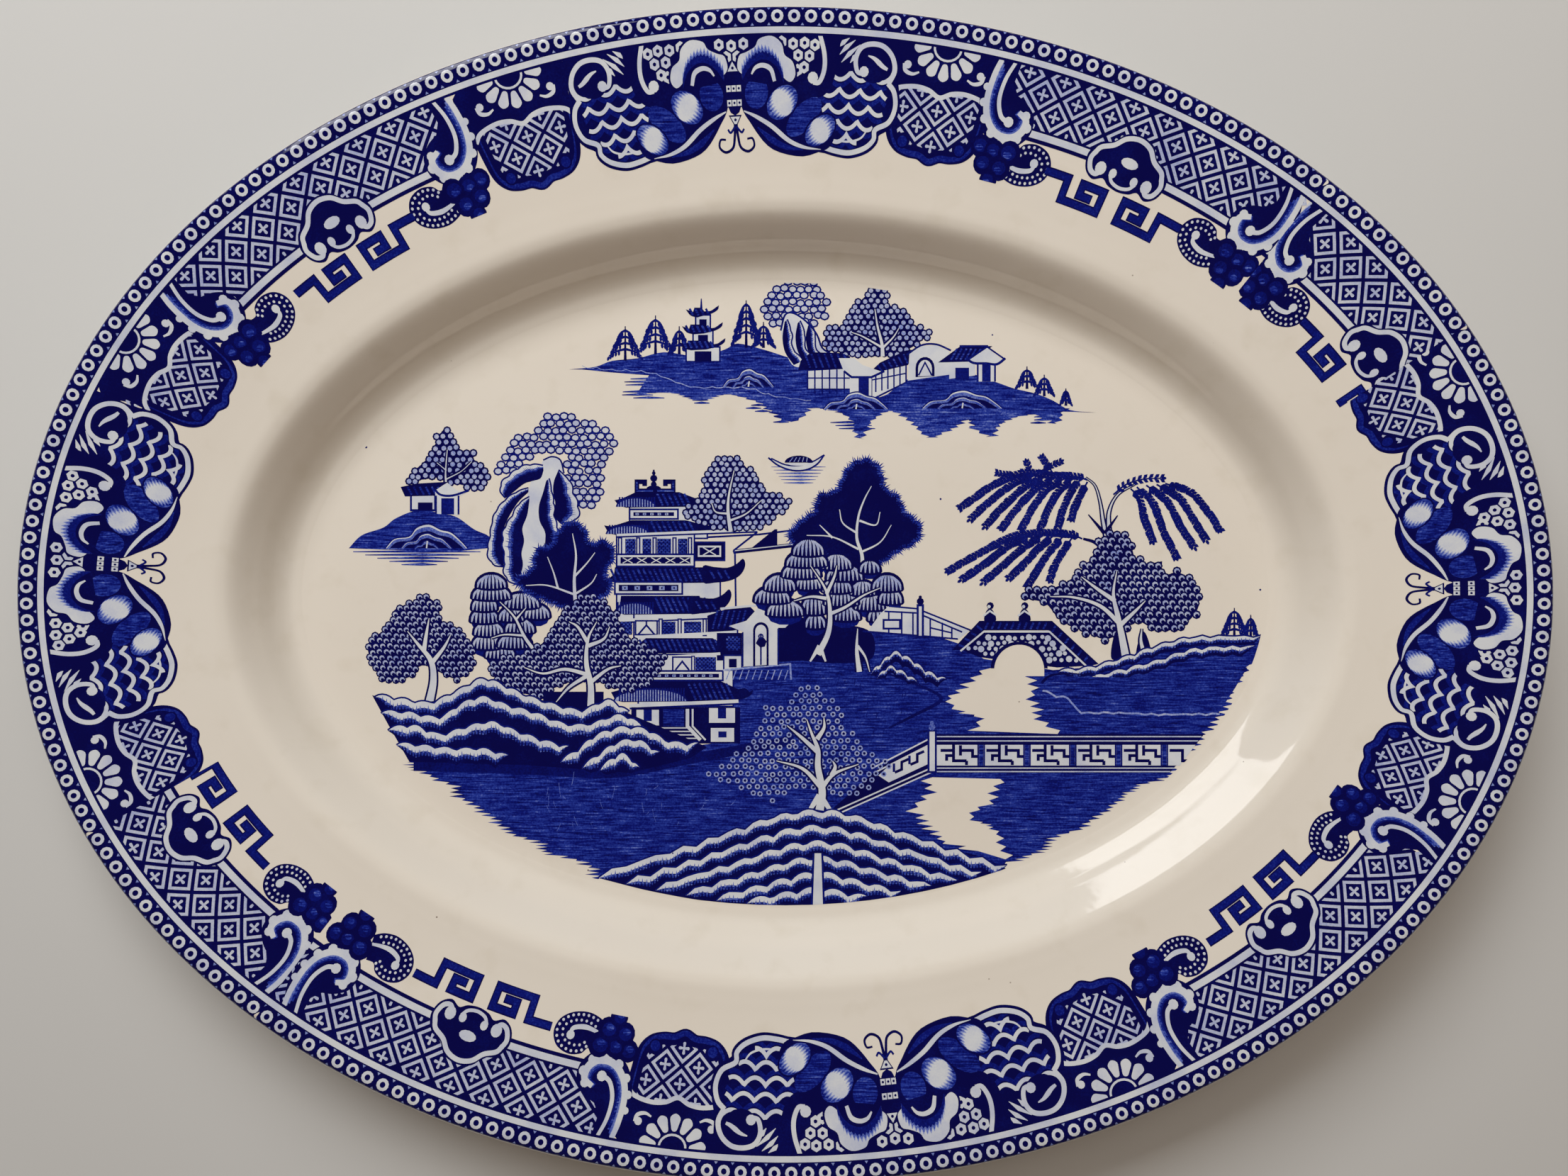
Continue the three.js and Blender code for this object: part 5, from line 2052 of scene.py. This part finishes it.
def make_glaze_material():
    """Clear glaze over the cream clay."""
    nodes = Nodes("clear_glaze_on_cream")
    return glaze_surface(nodes, glazed_cream(nodes))


# How much each texture adds to or takes from the ink's strength.
STIPPLE_DEPTH, HATCH_DEPTH, BLOT_DEPTH = 1.7, 1.15, 0.26
# Cobalt from a bare place, seen beside ink, to solid.
COBALT = [
    (0, colour(216, 218, 222)),
    (0.25, colour(122, 138, 204)),
    (0.5, colour(40, 62, 164)),
    (0.75, colour(5, 20, 120)),
    (1, colour(0, 0, 74)),
]


def make_print_material():
    """Cobalt under the glaze. The engraving's ink, broken by stipple, level lines and blots."""
    nodes = Nodes("cobalt_print")
    ink = nodes.add("ShaderNodeAttribute", attribute_name="ink").outputs["Fac"]
    grain = nodes.math("SUBTRACT", nodes.noise(0.5, 1), 0.5)
    half_tone = nodes.math("MULTIPLY", ink, nodes.math("SUBTRACT", 1.1, ink))
    hatch = nodes.math("SUBTRACT", nodes.noise(0.42, 2, (0.07, 1, 1)), 0.5)
    hatched = nodes.math("COMPARE", ink, HATCH_MIDDLE, HATCH_REACH)
    blot = nodes.math("SUBTRACT", nodes.noise(8, 3), 0.5)
    strength = nodes.math("MULTIPLY_ADD", nodes.math("MULTIPLY", grain, half_tone), STIPPLE_DEPTH, ink)
    strength = nodes.math("MULTIPLY_ADD", nodes.math("MULTIPLY", hatch, hatched), HATCH_DEPTH, strength)
    strength = nodes.math("MULTIPLY_ADD", blot, BLOT_DEPTH, strength)
    return glaze_surface(nodes, nodes.ramp(strength, COBALT))


def make_clay_material():
    """The bare foot: matt clay, gritty and a little soiled."""
    nodes = Nodes("bare_fired_clay")
    tone = nodes.mix(nodes.noise(12, 4), colour(205, 190, 160), colour(224, 212, 186))
    dirt = nodes.span(nodes.noise(4, 5), 0.5, 0.7)
    tone = nodes.mix(nodes.math("MULTIPLY", dirt, 0.5), tone, colour(140, 118, 90))
    grit = nodes.noise(0.6, 3)
    bump = nodes.add("ShaderNodeBump", {"Strength": 0.6, "Distance": 0.0003, "Height": grit}).outputs[0]
    return nodes.finish(Base_Color=tone, Roughness=nodes.span(grit, 0.2, 0.8, 0.75, 0.95), Normal=bump)


# ---------------------------------------------------------------- the stage, in metres and watts
FLOOR_REACH = 3
CAMERA_PLACE = (-0.0003, 0.0017, 0.341)
SENSOR_WIDTH, LENS = 36, 27.2  # in millimetres
# Each light's place, size, power and tint, and the kind of ray that does not see it.
LIGHTS = {
    "window": ((-0.38, 0.92, 0.9), (1.1, 0.6), 15.2, (0.97, 0.99, 1), "visible_glossy"),
    "pane": ((-0.5, 0.9, 0.5), (0.5, 0.9), 5, (1, 1, 1), "visible_diffuse"),
    "ceiling": ((0.1, 0.2, 0.65), (0.4, 0.4), 1.25, (1, 0.93, 0.85), "visible_glossy"),
    "bounce": ((0.2, -1, 0.9), (1.2, 0.8), 1.5, (1, 0.66, 0.42), "visible_glossy"),
}


def make_stage():
    """A plain pale floor."""
    nodes = Nodes("pale_floor")
    tone = nodes.mix(nodes.noise(120, 2), (0.62, 0.61, 0.59, 1), (0.66, 0.65, 0.63, 1))
    mesh = bpy.data.meshes.new("floor")
    corners = [(*corner, 0) for corner in box(-FLOOR_REACH, -FLOOR_REACH, FLOOR_REACH, FLOOR_REACH)]
    mesh.from_pydata(corners, [], [(0, 1, 2, 3)])
    mesh.materials.append(nodes.finish(Base_Color=tone, Roughness=0.8))
    floor = bpy.data.objects.new("floor", mesh)
    bpy.context.scene.collection.objects.link(floor)


def add_light(name, place, size, power, tint, unseen):
    """A rectangular light that faces the middle of the platter."""
    light = bpy.data.lights.new(name, "AREA")
    light.shape, light.size, light.size_y = "RECTANGLE", *size
    light.energy, light.color = power, tint
    lamp = bpy.data.objects.new(name, light)
    bpy.context.scene.collection.objects.link(lamp)
    lamp.location = place
    lamp.rotation_euler = (-Vector(place)).to_track_quat("-Z", "Y").to_euler()
    setattr(lamp, unseen, False)


def light_scene():
    """A window behind, its mirror image, and the room's faint warm light."""
    world = bpy.data.worlds.new("studio")
    bpy.context.scene.world = world
    world.use_nodes = True
    background = world.node_tree.nodes["Background"].inputs
    background["Color"].default_value = (1, 0.86, 0.72, 1)
    background["Strength"].default_value = 0.055
    for name, settings in LIGHTS.items():
        add_light(name, *settings)
    bpy.context.scene.view_settings.view_transform = "Standard"


def add_camera():
    """Straight above the middle, as near as a phone held over the table."""
    camera = bpy.data.cameras.new("camera")
    camera.sensor_width, camera.lens = SENSOR_WIDTH, LENS
    holder = bpy.data.objects.new("camera", camera)
    bpy.context.scene.collection.objects.link(holder)
    holder.location = CAMERA_PLACE
    bpy.context.scene.camera = holder


make_stage()
light_scene()
add_camera()
clay, glaze, cobalt = make_clay_material(), make_glaze_material(), make_print_material()
make_body().data.materials.append(clay)
for coat in make_glaze():
    coat.data.materials.append(glaze)
make_centre().data.materials.append(cobalt)
for name, plan in BORDER_TISSUES.items():
    make_border(name, plan).data.materials.append(cobalt)
